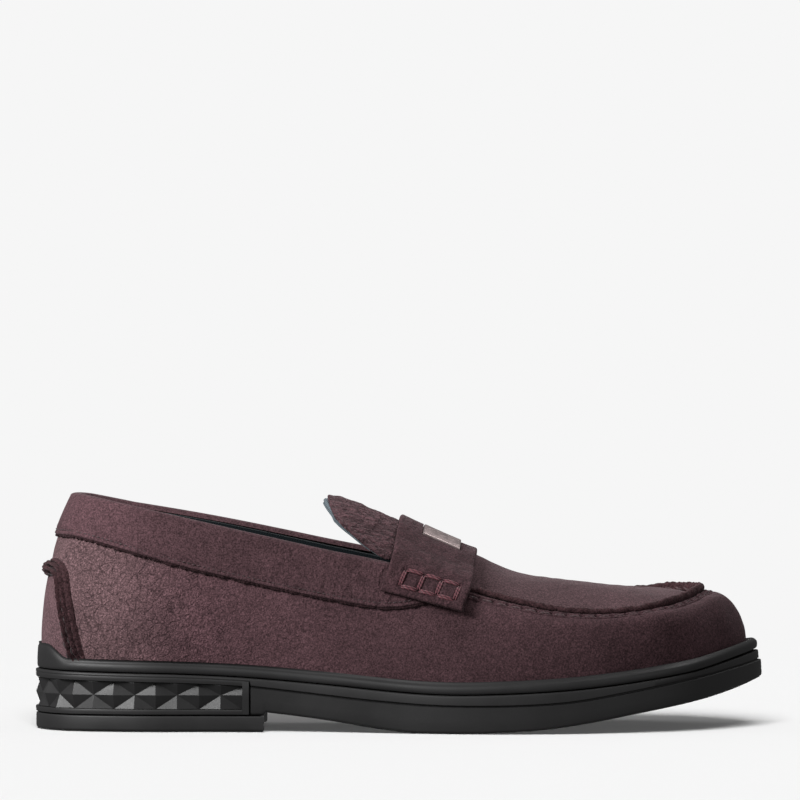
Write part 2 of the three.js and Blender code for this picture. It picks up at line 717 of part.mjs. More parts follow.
function apronGrid(rows, depth, rearX) {
  const stations = range(9, rearX, APRON_SPINE_END_X);
  const along = (side) =>
    stations.map((x) => apronSection(topEdgeAtX(x, side), spinePoint(x), rows, depth));
  const ends = [LATERAL, MEDIAL].map((side) => topEdgeAtX(APRON_SPINE_END_X, side));
  const fan = range(10, ends[0], ends[1])
    .slice(1, -1)
    .map((s) => apronSection(s, spinePoint(APRON_SPINE_END_X), rows, depth));
  return [...along(LATERAL), ...fan, ...along(MEDIAL).reverse()];
}

// The grid's rows run from its spine outwards, so the faces are listed edge first.
const apronSheet = (top, thickness, rearX) => {
  const rows = range(4, 1, 0);
  const [upper, lower] = [apronGrid(rows, top, rearX), apronGrid(rows, top + thickness, rearX)];
  return sheet(upper, lower, { folded: true });
};

function makeWelt() {
  const ends = [LATERAL, MEDIAL].map((side) => topEdgeAtX(WELT_REAR_X, side));
  const sections = columnsBetween(...ends).map((s) => [
    insideTop(s, -0.3, GAP + 0.2),
    insideTop(s, WELT_WIDTH - 0.3, GAP + 0.2),
    insideTop(s, WELT_WIDTH - 0.5, GAP + WELT_HEIGHT),
    insideTop(s, -0.1, GAP + WELT_HEIGHT),
  ]);
  return sweep(sections);
}

function makeApronThread() {
  const ends = [LATERAL, MEDIAL].map((side) => topEdgeAtX(WELT_REAR_X + 2, side));
  const points = range(40, ...ends).map((s) => wall(s, 0.94, 0.95));
  return tube(points, 0.5, 52, 5);
}

add('apron_plug', apronSheet(0, LEATHER, APRON_REAR_X), 'nubuck');
add('apron_lining', apronSheet(LEATHER + 0.6, 0.9, APRON_REAR_X + 1), 'lining');
add('apron_welt', makeWelt(), 'nubuck');
add('apron_thread', makeApronThread(), 'thread');

// --- saddle strap

const STRAP_END = 1.55; // how far the strap runs down the wall; the top edge is at 1
const WALL_PER_UNIT = 0.62; // share of the wall's height covered from 1 to 2

// The saddle's surface: v runs from the rear edge to the front, and g from the lateral
// end over the crown to the medial end, with the upper's top edge at g = -1 and 1.
function saddleBase(v, g) {
  const across = Math.min((Math.abs(g) / STRAP_END) ** 2, 1);
  const rear = mix(STRAP_REAR.crown, STRAP_REAR.end, across);
  const front = mix(STRAP_FRONT.crown, STRAP_FRONT.end, across);
  const x = mix(rear, front, v);
  const side = g < 0 ? LATERAL : MEDIAL;
  const beyond = (Math.abs(g) - 1) * mix(0.8, 1, v);
  if (beyond > 0) {
    const t = 1 - beyond * WALL_PER_UNIT;
    return wallFace(solve((s) => wallFace(s, t).x, x, side[0], side[1]), t);
  }
  const edge = topPoint(topEdgeAtX(x, side));
  const share = Math.abs(g);
  return new THREE.Vector3(x, edge.y * share, edge.z + (crownZ(x) - edge.z) * (1 - share ** 2.1));
}

// The crease at the top edge is eased by averaging across it.
function saddleFace(v, g) {
  const spread = 0.16;
  const samples = [-1, -0.5, 0, 0.5, 1].map((k) => saddleBase(v, g + k * spread));
  const sum = samples.reduce((total, p) => total.add(p), new THREE.Vector3());
  return sum.divideScalar(samples.length);
}

const saddleRise = (g) => 1 + 2 * smooth(0.65, 1, Math.abs(g));

function saddle(v, g, distance) {
  const step = 0.01;
  const along = saddleFace(v + step, g).sub(saddleFace(v - step, g));
  const across = saddleFace(v, g + step).sub(saddleFace(v, g - step));
  const normal = along.cross(across).normalize();
  return saddleFace(v, g).addScaledVector(normal, saddleRise(g) + distance);
}

// A patch of the saddle between two distances from its surface.
function saddlePatch(vs, gs, low, high) {
  const layer = (d) => vs.map((v) => gs.map((g) => saddle(v, g, d)));
  return sheet(layer(high), layer(low));
}

// Where the box stitching runs, along and across the strap; the strap has its own
// points there too.
const BOX_V = [0.21, 0.43, 0.65, 0.87];
const BOX_G = [1.145, 1.27, 1.39];
const halfStrap = [0, 0.16, 0.32, 0.48, 0.64, 0.8, 0.96, ...BOX_G, 1.45, STRAP_END];
const STRAP_V = [0, ...BOX_V, 1];
const STRAP_G = [...halfStrap.slice(1).map((g) => -g).reverse(), ...halfStrap];

// The plate stands in a window in the middle of the strap.
const PLATE = { rear: 0.3, front: 0.78, halfG: 0.44 };

function platePatch(margin, low, high) {
  const [rear, front] = [PLATE.rear - margin / 33, PLATE.front + margin / 33];
  const halfG = PLATE.halfG + margin / 36;
  return saddlePatch(range(2, rear, front), range(8, -halfG, halfG), low, high);
}

const RIVETS_V = [PLATE.rear + 0.1, PLATE.front - 0.1];

function platePin(v) {
  return tube([saddle(v, 0, 0.5), saddle(v, 0, -0.1), saddle(v, 0, -0.6)], 0.9, 2, 8);
}

const strap = saddlePatch(STRAP_V, STRAP_G, 0, STRAP_LEATHER);
add('saddle_strap', cut(strap, [platePatch(0.5, -1, STRAP_LEATHER + 1)]), 'nubuck');
add('penny_plate', platePatch(0, 0.9, STRAP_LEATHER + 0.9), 'plate');
RIVETS_V.forEach((v, i) => add(`plate_rivet_${i + 1}`, platePin(v), 'steel'));

// Box stitching: two long rows joined by four short ones, at each end of the strap.
const THREAD_V = 0.013;
const THREAD_G = 0.02;

function makeBoxStitch(side) {
  const [near, middle, far] = BOX_G;
  const onSide = (gs) => (side > 0 ? gs : gs.map((g) => -g).reverse());
  const base = STRAP_LEATHER + 0.55;
  const vs = [BOX_V[0] - THREAD_V, ...BOX_V.slice(1, -1), BOX_V[3] + THREAD_V];
  const outline = onSide([near - THREAD_G, middle, far + THREAD_G]);
  const inside = onSide([near + THREAD_G, middle, far - THREAD_G]);
  const plate = saddlePatch(vs, outline, base, base + 0.8);
  const windows = BOX_V.slice(1).map((v, i) =>
    saddlePatch([BOX_V[i] + THREAD_V, v - THREAD_V], inside, base - 1.5, base + 2.3),
  );
  return cut(plate, windows);
}

add('strap_stitch_lateral', makeBoxStitch(-1), 'thread');
add('strap_stitch_medial', makeBoxStitch(1), 'thread');

// --- tongue

const tongueHalfWidth = profile([[0, 19.6], [0.15, 22.6], [0.35, 25], [0.6, 27.2], [1, 29.2]]);

// u runs from the free rear edge to the root under the strap, and v across.
function tongueFace(v, u) {
  const rear = 120.6 + 3.2 * Math.abs(v) ** 3;
  const root = 148 - 6.5 * v * v;
  const x = mix(rear, root, u);
  const y = v * tongueHalfWidth(u);
  return new THREE.Vector3(x, y, crownZ(x) - TONGUE_DROP * y * y);
}

function tongueSheet(top, thickness, margin) {
  const stations = range(6, margin / 30, 1 - margin / 30);
  const layer = (depth) =>
    range(10, -1 + margin / 25, 1 - margin / 25).map((v) =>
      stations.map((u) => {
        const point = tongueFace(v, u);
        const along = tongueFace(v, u + 1e-3).sub(tongueFace(v, u - 1e-3));
        const across = tongueFace(v + 1e-3, u).sub(tongueFace(v - 1e-3, u));
        return point.addScaledVector(along.cross(across).normalize(), -depth);
      }),
    );
  return sheet(layer(top + thickness), layer(top));
}

add('tongue_leather', tongueSheet(0, 1.2, 0), 'nubuck', tongue);
add('tongue_foam', tongueSheet(1.55, 0.9, 2), 'foam', tongue);
add('tongue_lining', tongueSheet(2.8, 0.7, 0), 'tongueLining', tongue);

// ---------------------------------------------------------------- placement

// The shoe stands on the ground with its bounding box centred over the origin.
const bounds = new THREE.Box3().setFromObject(shoe);
shoe.position.set(-(bounds.min.x + bounds.max.x) / 2, -(bounds.min.y + bounds.max.y) / 2, 0);

export default shoe;
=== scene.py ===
# The looks of a moccasin-toe penny loafer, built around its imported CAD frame.
# Shapes are worked out in millimetres from the back of the heel, with the toe along +X
# and the lateral side towards -Y, as in the CAD model, and placed in the frame at the end.
import math

import bmesh
import bpy
import numpy as np
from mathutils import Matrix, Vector


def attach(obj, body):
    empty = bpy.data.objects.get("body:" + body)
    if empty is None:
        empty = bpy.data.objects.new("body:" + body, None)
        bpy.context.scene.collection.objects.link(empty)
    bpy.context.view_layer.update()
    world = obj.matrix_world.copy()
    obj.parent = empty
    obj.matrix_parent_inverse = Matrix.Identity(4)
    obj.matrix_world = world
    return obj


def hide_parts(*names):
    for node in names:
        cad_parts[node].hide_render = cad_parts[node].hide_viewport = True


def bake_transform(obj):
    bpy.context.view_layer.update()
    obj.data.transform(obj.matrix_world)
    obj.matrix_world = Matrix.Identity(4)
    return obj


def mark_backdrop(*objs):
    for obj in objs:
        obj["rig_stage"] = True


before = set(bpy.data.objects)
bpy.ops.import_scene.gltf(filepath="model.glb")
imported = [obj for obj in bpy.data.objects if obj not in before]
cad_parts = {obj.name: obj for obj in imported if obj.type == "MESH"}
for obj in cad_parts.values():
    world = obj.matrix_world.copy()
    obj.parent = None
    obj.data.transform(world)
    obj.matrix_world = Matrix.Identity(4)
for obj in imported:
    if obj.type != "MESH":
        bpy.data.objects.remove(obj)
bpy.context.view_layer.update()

SCENE = bpy.context.scene

# ---------------------------------------------------------------- dimensions, in mm

LEATHER = 1.5
COLLAR_AT = 1.9          # the collar's face, out from the wall's
COLLAR_END = 0.304       # share of the way round the loop
LINING_AT = -3.7
LIFT_HEIGHT = 6.5
BREAST_X = 95
BAND_END_X = 89
STUD_PITCH = 8.85
STUD_CELLS = 24
STUD_MIDDLE_Z = 14.9
STUD_HALF_HEIGHT = 5.6
PATCH_TOP = 0.56
PATCH_TOP_S = 0.0385
PATCH_FOOT_S = 0.0635
WELT_INSET = 3.35
APRON_REAR_X = 158
APRON_SPINE_END_X = 250
STRAP_LEATHER = 1.6
STRAP_END = 1.55
WALL_PER_UNIT = 0.62
STRAP_REAR = (149.7, 142.2)      # x at the crown and at the ends
STRAP_FRONT = (181.5, 176)
TONGUE_DROP = 0.0205
TONGUE_LONG, TONGUE_WIDE = 35.0, 50.0
SOLE_TO_FOOT = 0.4       # the wall's foot, above the sole's top
BAND_REACH = STUD_CELLS * STUD_PITCH / 2
STEP = 1e-3              # for slopes of the surfaces

# ------------------------------------------------------------------ curves in plan

SOLE_POINTS = [
    (0, 0), (11, -26), (40, -36.5), (74, -37), (108, -39),
    (142, -44.5), (176, -52), (210, -54.5), (244, -50), (276, -34),
    (300, 5), (287, 36), (256, 53.5), (220, 56), (184, 49),
    (148, 39.5), (112, 35.5), (76, 35.5), (40, 36), (11, 26),
]
TOP_POINTS = [
    (16.2, 0), (22, -16), (42, -26.5), (72, -30), (102, -31.5),
    (134, -32.5), (165, -35.5), (196, -39.5), (228, -41), (258, -30.5),
    (276, 3), (266, 27.5), (240, 40), (210, 42), (178, 38),
    (146, 34), (112, 32), (78, 30.5), (44, 27), (22, 16),
]


def plan_curve(points):
    """A closed Catmull-Rom loop: the function gives points for s from 0 to 1."""
    knots = np.array([(x, y, 0) for x, y in points], float)
    count = len(knots)

    def at(s):
        place = np.mod(np.asarray(s, float), 1) * count
        i = np.floor(place).astype(int) % count
        w = (place - np.floor(place))[..., None]
        p0, p1, p2, p3 = (knots[(i + k) % count] for k in (-1, 0, 1, 2))
        m1, m2 = (p2 - p0) / 2, (p3 - p1) / 2
        return p1 + w * (m1 + w * (3 * (p2 - p1) - 2 * m1 - m2 + w * (m1 + m2 - 2 * (p2 - p1))))

    return at


def profile(pairs):
    """A smooth function through (x, value) pairs."""
    xs, ys = (np.array(column, float) for column in zip(*pairs))
    before = np.maximum(np.arange(len(xs)) - 1, 0)
    after = np.minimum(np.arange(len(xs)) + 1, len(xs) - 1)
    slopes = (ys[after] - ys[before]) / (xs[after] - xs[before])

    def at(x):
        x = np.clip(np.asarray(x, float), xs[0], xs[-1])
        i = np.clip(np.searchsorted(xs, x, side="right") - 1, 0, len(xs) - 2)
        width = xs[i + 1] - xs[i]
        u = (x - xs[i]) / width
        rise = ys[i + 1] - ys[i]
        m0, m1 = slopes[i] * width, slopes[i + 1] * width
        return ys[i] + u * (m0 + u * (3 * rise - 2 * m0 - m1 + u * (m0 + m1 - 2 * rise)))

    return at


sole_curve = plan_curve(SOLE_POINTS)
top_curve = plan_curve(TOP_POINTS)

sole_bottom_z = profile([
    (95.6, 8), (120, 5), (140, 1.8), (152, 0.4), (160, 0), (180, 0), (191, 0.5),
    (205, 1.3), (215, 2.4), (231, 5), (246, 7.8), (259, 10.2), (272, 12.8), (286, 16.3), (300, 20.8),
])
edge_groove_z = profile([
    (88, 18.6), (96, 17.7), (142, 12.7), (173, 11), (215, 12.3), (246, 17.2), (278, 23.5), (300, 28.2),
])
sole_top_z = profile([
    (0, 24.6), (27, 24), (60, 23.3), (89, 21.9), (120, 19.3), (158, 15.9), (184, 15.6),
    (225, 18), (267, 23.9), (293, 30.3), (300, 32.2),
])
top_edge_z = profile([
    (14, 95.9), (21, 95.1), (28, 93.7), (41, 90.9), (54, 88), (80, 82.1), (106, 76.3), (120, 73.2),
    (147, 67.6), (165, 61.6), (182, 55.7), (207, 49.5), (224, 47.3), (240, 47.3), (258, 49.5),
    (268, 51.9), (277, 55),
])
medial_rise = profile([
    (40, 0), (77, 1.9), (118, 2.6), (150, 2.6), (200, 4), (240, 5.2), (262, 4), (277, 0),
])
crown_z = profile([
    (118, 96.5), (121, 96), (126, 95), (132, 93), (139, 90), (149, 85.8), (159, 80.9), (169, 76.4),
    (182, 70.9), (189, 67.6), (198, 64.2), (208, 62.1), (228, 59.8), (246, 57.8), (259, 56.5),
    (272, 55.2),
])
collar_seam_z = profile([
    (6, 79.7), (20, 78.7), (58, 68.2), (89, 61), (120, 54.4), (141, 50.9), (151, 51), (159, 52.4),
    (166, 54.6), (172, 56.8),
])
ledge = profile([(0, 3.2), (60, 3), (140, 4), (220, 5), (300, 6.2)])
rand_shoulder = profile([(0, 1.3), (40, 1.9), (240, 1.9), (297, 3.3)])
foot_lean = profile([(0, 2.6), (40, 2.2), (140, 2.5), (200, 3), (260, 1.5), (294, 0.5)])
foot_rise = profile([(0, 0.32), (140, 0.34), (200, 0.42), (294, 0.62)])
head_lean = profile([(0, 12), (10, 9.5), (30, 6.2), (60, 4.5), (140, 5.5), (200, 9), (294, 10)])
head_rise = profile([(0, -0.31), (60, -0.3), (140, -0.26), (200, -0.12), (250, 0.05), (294, 0.18)])


def smooth(start, end, x):
    u = np.clip((np.asarray(x, float) - start) / (end - start), 0, 1)
    return u * u * (3 - 2 * u)


def mix(a, b, share):
    return a + (b - a) * share


def unit(vectors):
    return vectors / np.maximum(np.linalg.norm(vectors, axis=-1, keepdims=True), 1e-12)


def solve(fn, target, low, high, rounds=30):
    """Where fn reaches the target between low and high, for whole arrays at once."""
    low, high = (np.array(a, float) for a in np.broadcast_arrays(low, high, np.asarray(target, float))[:2])
    rising = fn(high) > fn(low)
    for _ in range(rounds):
        middle = (low + high) / 2
        beyond = (fn(middle) > target) == rising
        high = np.where(beyond, middle, high)
        low = np.where(beyond, low, middle)
    return (low + high) / 2


def with_z(points, z):
    made = np.array(points, float)
    made[..., 2] = z
    return made


def level(z):
    """A function of x for a height that is the same everywhere."""
    return lambda x: z + 0 * x


def above(curve, rise):
    return lambda x: curve(x) + rise


def run_along(points):
    """The distance along a line of points, from its start to each of them."""
    return np.concatenate([[0], np.cumsum(np.linalg.norm(np.diff(points, axis=0), axis=1))])


# ------------------------------------------------------------- surfaces of the last

def from_heel(s):
    s = np.mod(s, 1)
    return np.minimum(s, 1 - s)


def outward(s):
    tangent = sole_curve(s + 1e-4) - sole_curve(s - 1e-4)
    return unit(np.stack([tangent[..., 1], -tangent[..., 0], 0 * tangent[..., 0]], -1))


def sole_edge(s, inset, height=level(0)):
    """A point on the sole's edge, moved inwards, at a height given by a function of x."""
    point = sole_curve(s) - outward(s) * np.asarray(inset, float)[..., None]
    return with_z(point, height(point[..., 0]))


def foot_point(s):
    return sole_edge(s, ledge(sole_curve(s)[..., 0]), above(sole_top_z, SOLE_TO_FOOT))


def top_point(s):
    point = top_curve(s)
    rise = medial_rise(point[..., 0]) * smooth(0, 25, point[..., 1])
    return with_z(point, top_edge_z(point[..., 0]) + rise)


def wall_face(s, t):
    """The outer leather's face: s runs round the shoe, and t from the sole to the top edge."""
    s, t = np.broadcast_arrays(np.asarray(s, float), np.asarray(t, float))
    foot, top, out = foot_point(s), top_point(s), outward(s)
    height, x = top[..., 2] - foot[..., 2], foot[..., 0]
    low = foot + out * foot_lean(x)[..., None]
    low[..., 2] += height * foot_rise(x)
    high = top + out * head_lean(x)[..., None]
    high[..., 2] += height * head_rise(x)
    t = t[..., None]
    u = 1 - t
    return u ** 3 * foot + 3 * u * u * t * low + 3 * u * t * t * high + t ** 3 * top


def lifted(s, t, distance):
    """A point on the outer leather's face, moved along its normal, and the normal."""
    s, t = np.broadcast_arrays(np.asarray(s, float), np.asarray(t, float))
    across = wall_face(s + STEP, t) - wall_face(s - STEP, t)
    up = wall_face(s, np.minimum(t + STEP, 1)) - wall_face(s, np.maximum(t - STEP, 0))
    normal = unit(np.cross(across, up))
    return wall_face(s, t) + normal * np.asarray(distance, float)[..., None], normal


def wall(s, t, distance=0):
    return lifted(s, t, distance)[0]


def wall_scale(s, t):
    """Millimetres along the wall for a whole share of its height."""
    return np.linalg.norm(wall_face(s, t + STEP) - wall_face(s, t), axis=1) / STEP


LATERAL, MEDIAL = (0.02, 0.495), (0.98, 0.505)      # where each side starts and ends round the loop


def top_edge_at_x(x, side):
    return solve(lambda s: top_point(s)[..., 0], x, *side)


def sole_at_x(x, side):
    return solve(lambda s: sole_curve(s)[..., 0], x, *side)


def collar_low(s):
    """The collar's lower edge, as a share of the wall's height."""
    def seam_gap(t):
        point = wall_face(s, t)
        return point[..., 2] - collar_seam_z(point[..., 0])

    return solve(seam_gap, 0.0, np.full(np.shape(s), 0.3), 0.97)


def share_down(s, down):
    """The share of the wall's height that lies some millimetres below its top edge."""
    shares = np.linspace(1, 0, 160)
    line = wall_face(np.asarray(s)[:, None], shares)
    run = np.concatenate(
        [np.zeros((len(s), 1)), np.cumsum(np.linalg.norm(np.diff(line, axis=1), axis=2), axis=1)], 1
    )
    down = np.broadcast_to(down, (len(s), np.shape(down)[-1]))
    return np.array([np.interp(d, r, shares) for d, r in zip(down, run)])


def ripple(points, wavelength, seed):
    """A gentle, repeatable unevenness, mostly between -1 and 1."""
    draw = np.random.default_rng(seed)
    total = np.zeros(points.shape[:-1])
    for _ in range(7):
        direction = unit(draw.normal(size=3)) * 2 * math.pi / (wavelength * draw.uniform(0.6, 1.6))
        total += np.sin(points @ direction + draw.uniform(0, 2 * math.pi))
    return total / 3.2


# --------------------------------------------------------------------- mesh building

SOLE_Y = sole_curve(np.linspace(0, 1, 4001))[:, 1]
ORIGIN = np.array([150, (SOLE_Y.min() + SOLE_Y.max()) / 2, 0])      # the frame's origin


def to_frame(points):
    return (np.asarray(points, float).reshape(-1, 3) - ORIGIN) / 1000


def grid_faces(rows, columns, rows_loop=False, columns_loop=False):
    """Four-sided faces over a grid of points that are numbered row by row."""
    i = np.arange(rows if rows_loop else rows - 1)[:, None]
    k = np.arange(columns if columns_loop else columns - 1)[None, :]
    n, m = (i + 1) % rows, (k + 1) % columns
    corners = [i * columns + k, i * columns + m, n * columns + m, n * columns + k]
    return np.stack(corners, -1).reshape(-1, 4).tolist()


def sweep(sections, ring=False):
    """Points and faces of a bar through closed sections, [place][corner]; open ones get end caps."""
    count, sides = sections.shape[:2]
    faces = grid_faces(count, sides, ring, True)
    if not ring:
        for base in (0, (count - 1) * sides):
            for j in range(sides // 2 - 1):
                faces.append([base + j, base + j + 1, base + sides - 2 - j, base + sides - 1 - j])
    return sections.reshape(-1, 3), faces


def thick(front, back):
    """Closed sections from the rows of a front face and those of the back face behind it."""
    return np.concatenate([front, back[:, ::-1]], axis=1)


def joined(parts):
    """Several (points, faces) as one."""
    points, faces, base = [], [], 0
    for part_points, part_faces in parts:
        points.append(np.asarray(part_points).reshape(-1, 3))
        faces += [[base + v for v in face] for face in part_faces]
        base += len(points[-1])
    return np.concatenate(points), faces


def piece(name, shape, material, replaces=(), crease=40, ride=True):
    """A finished piece of the shoe from (points, faces)."""
    points, faces = shape
    mesh = bpy.data.meshes.new(name)
    mesh.from_pydata(to_frame(points).tolist(), [], faces)
    work = bmesh.new()
    work.from_mesh(mesh)
    bmesh.ops.remove_doubles(work, verts=work.verts, dist=2e-6)
    bmesh.ops.dissolve_degenerate(work, edges=work.edges, dist=1e-7)
    bmesh.ops.recalc_face_normals(work, faces=work.faces)
    work.to_mesh(mesh)
    work.free()
    mesh.polygons.foreach_set("use_smooth", [True] * len(mesh.polygons))
    mesh.set_sharp_from_angle(angle=math.radians(crease))
    made = bpy.data.objects.new(name, mesh)
    SCENE.collection.objects.link(made)
    mesh.materials.append(material)
    if ride:
        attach(made, "shoe")
    if replaces:
        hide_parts(*replaces)
    return made


def edge_rounding(along, length, thickness):
    """Half the thickness of a sheet at places along a row, rounded off at both its ends."""
    half = thickness / 2
    near = np.clip(np.minimum(along, length - along) / half, 0, 1)
    return half * np.sqrt(1 - (1 - near) ** 2)


def edged_places(length, count, thickness):
    """Places along a row, close together at its two rounded ends."""
    near = np.array([0, 0.05, 0.18, 0.4, 0.7, 1]) * thickness / 2
    inner = np.linspace(thickness / 2, length - thickness / 2, count)[1:-1]
    return np.concatenate([near, inner, length - near[::-1]])


def stitch_ends(run, first, spare, pitch, begin, end):
    """Which points of a line its stitches begin and end at."""
    starts = np.arange(first, run[-1] - spare, pitch)
    return np.searchsorted(run, starts + begin), np.searchsorted(run, starts + end)


def stitches(starts, ends, normals, radius, arch):
    """Threads that rise out of the leather, run over it and dive back in, as one mesh."""
    q = np.linspace(0, 1, 8)
    turn = np.linspace(0, 2 * math.pi, 7)[:-1]
    parts = []
    for start, end, normal in zip(starts, ends, normals):
        along = unit(end - start)
        side = np.cross(along, normal)
        line = start + (end - start) * q[:, None]
        line = line + normal * (arch * np.sin(math.pi * q) ** 0.6 - 0.45 * radius)[:, None]
        width = radius * np.sqrt(np.clip(1 - np.abs(2 * q - 1) ** 5, 0.12, 1))
        circle = side * np.cos(turn)[:, None] + normal * np.sin(turn)[:, None]
        parts.append(sweep(line[:, None] + circle[None] * width[:, None, None]))
    return joined(parts)


# ------------------------------------------------------------------------- materials

class Nodes:
    """A material's node tree, with a short call for each kind of node."""

    def __init__(self, name):
        self.material = bpy.data.materials.new(name)
        self.material.use_nodes = True
        self.tree = self.material.node_tree
        self.shader = self.tree.nodes["Principled BSDF"]
        self.place = self.add("ShaderNodeTexCoord").outputs["Object"]

    def add(self, kind, inputs=None, **settings):
        node = self.tree.nodes.new(kind)
        for key, value in settings.items():
            setattr(node, key, value)
        for key, value in (inputs or {}).items():
            self.put(node.inputs[key], value)
        return node

    def put(self, socket, value):
        if isinstance(value, bpy.types.NodeSocket):
            self.tree.links.new(value, socket)
        elif socket.type == "VECTOR":
            socket.default_value = value[:3]
        else:
            socket.default_value = value

    def set(self, **values):
        for key, value in values.items():
            self.put(self.shader.inputs[key.replace("_", " ").title().replace("Ior", "IOR")], value)

    def noise(self, scale, detail=2.0, roughness=0.5, place=None):
        inputs = {"Vector": place or self.place, "Scale": scale, "Detail": detail, "Roughness": roughness}
        return self.add("ShaderNodeTexNoise", inputs).outputs["Fac"]

    def scaled(self, stretch, turn=(0, 0, 0)):
        inputs = {"Vector": self.place, "Scale": stretch, "Rotation": turn}
        return self.add("ShaderNodeMapping", inputs).outputs[0]

    def cells(self, scale, feature="DISTANCE_TO_EDGE", place=None):
        inputs = {"Vector": place or self.place, "Scale": scale}
        return self.add("ShaderNodeTexVoronoi", inputs, feature=feature).outputs["Distance"]

    def vector(self, operation, inputs):
        return self.add("ShaderNodeVectorMath", inputs, operation=operation).outputs[0]

    def warped(self, amount, scale):
        """The place on the surface, pushed about by a noise."""
        noise = self.add("ShaderNodeTexNoise", {"Vector": self.place, "Scale": scale, "Detail": 2.0})
        offset = self.vector("SUBTRACT", {0: noise.outputs["Color"], 1: (0.5, 0.5, 0.5)})
        return self.vector("ADD", {0: self.place, 1: self.times(offset, amount)})

    def math(self, operation, a, b):
        return self.add("ShaderNodeMath", {0: a, 1: b}, operation=operation).outputs[0]

    def product(self, total, *factors):
        for factor in factors:
            total = self.math("MULTIPLY", total, factor)
        return total

    def less(self, share, amount):
        """One, less an amount of a share."""
        return self.math("SUBTRACT", 1.0, self.math("MULTIPLY", share, amount))

    def weighted(self, *terms):
        total = 0.0
        for value, weight in terms:
            total = self.math("ADD", total, self.math("MULTIPLY", value, weight))
        return total

    def between(self, value, low, high, to_low=0.0, to_high=1.0):
        inputs = {"Value": value, "From Min": low, "From Max": high, "To Min": to_low, "To Max": to_high}
        return self.add("ShaderNodeMapRange", inputs, interpolation_type="SMOOTHSTEP").outputs[0]

    def vary(self, noise, low, high):
        """A noise, most of which lies from 0.3 to 0.7, spread from low to high."""
        return self.between(noise, 0.3, 0.7, low, high)

    def axis(self, which):
        return self.add("ShaderNodeSeparateXYZ", {0: self.place}).outputs[which]

    def tint(self, share, a, b):
        node = self.add("ShaderNodeMix", {0: share, 6: a, 7: b}, data_type="RGBA")
        return node.outputs[2]

    def times(self, colour, factor):
        return self.vector("SCALE", {0: colour, "Scale": factor})

    def bump(self, height, distance, strength):
        inputs = {"Height": height, "Distance": distance, "Strength": strength}
        return self.add("ShaderNodeBump", inputs).outputs[0]


def nubuck(name, base, pebble=(0.0, 0.0), nap=1.0, wrinkle=0.0, crease=0.0, bloom_and_painted_light=(1.0, 1.0), dust_and_sheen=None):
    """Napped leather. pebble is how deep its cracked grain is, with painted shade in the cracks, and bloom
    how bright it is, each at the heel
    and at the toe: a paler leather at the heel, with painted light that brightens it towards the heel and
    darkens it towards the toe; dusty is its colour over the heel, greyer for dust and for a painted sheen
    where the key light falls."""
    n = Nodes(name)
    x = n.axis("X")
    depth = n.between(x, -0.13, 0.02, *pebble)
    fine = n.noise(1700, roughness=0.6)
    grain = n.noise(860, roughness=0.55)
    cracks = n.between(n.cells(200, place=n.warped(0.0045, 170)), 0.0, 0.1, 1.0, 0.0)
    cracks = n.product(cracks, n.between(n.noise(90), 0.35, 0.6, 0.25, 1.0), depth)
    pebbles = n.product(n.between(n.cells(760, place=n.warped(0.0015, 600)), 0.0, 0.3, 1.0, 0.0), depth)
    tone = n.product(
        n.vary(grain, 1 - 0.2 * nap, 1 + 0.2 * nap), n.vary(fine, 0.5, 1.5),
        # painted light: brighter towards the heel, where the key light falls, and darker towards the toe, on
        # a leather that is paler at the heel
        n.vary(n.noise(38, 3.0, 0.55), 0.88, 1.12), n.between(x, -0.125, 0.01, *bloom_and_painted_light),
        # painted shade: darker in the cracks and between the pebbles, where the bump also sinks them
        n.less(cracks, 0.36), n.less(pebbles, 0.27),
    )
    height = n.weighted((grain, 0.5 * nap), (cracks, -0.45), (pebbles, -0.24), (fine, 0.3))
    if wrinkle:
        folds = n.noise(620, 3.0, 0.65, n.scaled((0.22, 1.0, 1.0), (0, 0.42, 0)))
        ridges = n.between(folds, 0.35, 0.65)
        # painted light and shade: the wrinkles' raised ridges are made lighter and the folds between them
        # darker
        tone = n.product(tone, n.between(ridges, 0.0, 1.0, 1 - 0.45 * wrinkle, 1 + 0.4 * wrinkle))
        height = n.weighted((height, 1.0), (ridges, 1.2 * wrinkle))
    if crease:
        folds = n.between(n.noise(260, place=n.scaled((1.0, 1.0, 0.4), (0, -0.7, 0))), 0.4, 0.6)
        folds = n.product(folds, n.between(x, -0.05, -0.005, 0.25, 1.0))
        height = n.weighted((height, 1.0), (folds, crease))
        # painted light and shade: the raised creases are made lighter and the hollows between them darker
        tone = n.product(tone, n.between(folds, 0.0, 1.0, 0.92, 1.15))
    # dust and painted sheen: the base turns greyer over the heel, where the key light falls
    if dust_and_sheen:
        base = n.tint(n.between(x, -0.125, -0.075), dust_and_sheen, base)
    n.set(base_color=n.times(base, tone), roughness=n.vary(fine, 0.82, 0.95))
    n.set(normal=n.bump(height, 0.0005, 0.9))
    n.set(specular_ior_level=0.14, sheen_weight=0.08, sheen_roughness=0.45, sheen_tint=(0.9, 0.78, 0.8, 1))
    return n.material


def rubber(name, base, roughness):
    n = Nodes(name)
    dust = n.noise(45, 4.0, 0.6)
    skin = n.noise(1700, roughness=0.6)
    tone = n.product(n.vary(dust, 0.88, 1.12), n.vary(skin, 0.94, 1.06))
    n.set(base_color=n.times(base, tone), roughness=n.vary(dust, roughness - 0.05, roughness + 0.07))
    n.set(normal=n.bump(skin, 0.00006, 0.5), specular_ior_level=0.5)
    return n.material


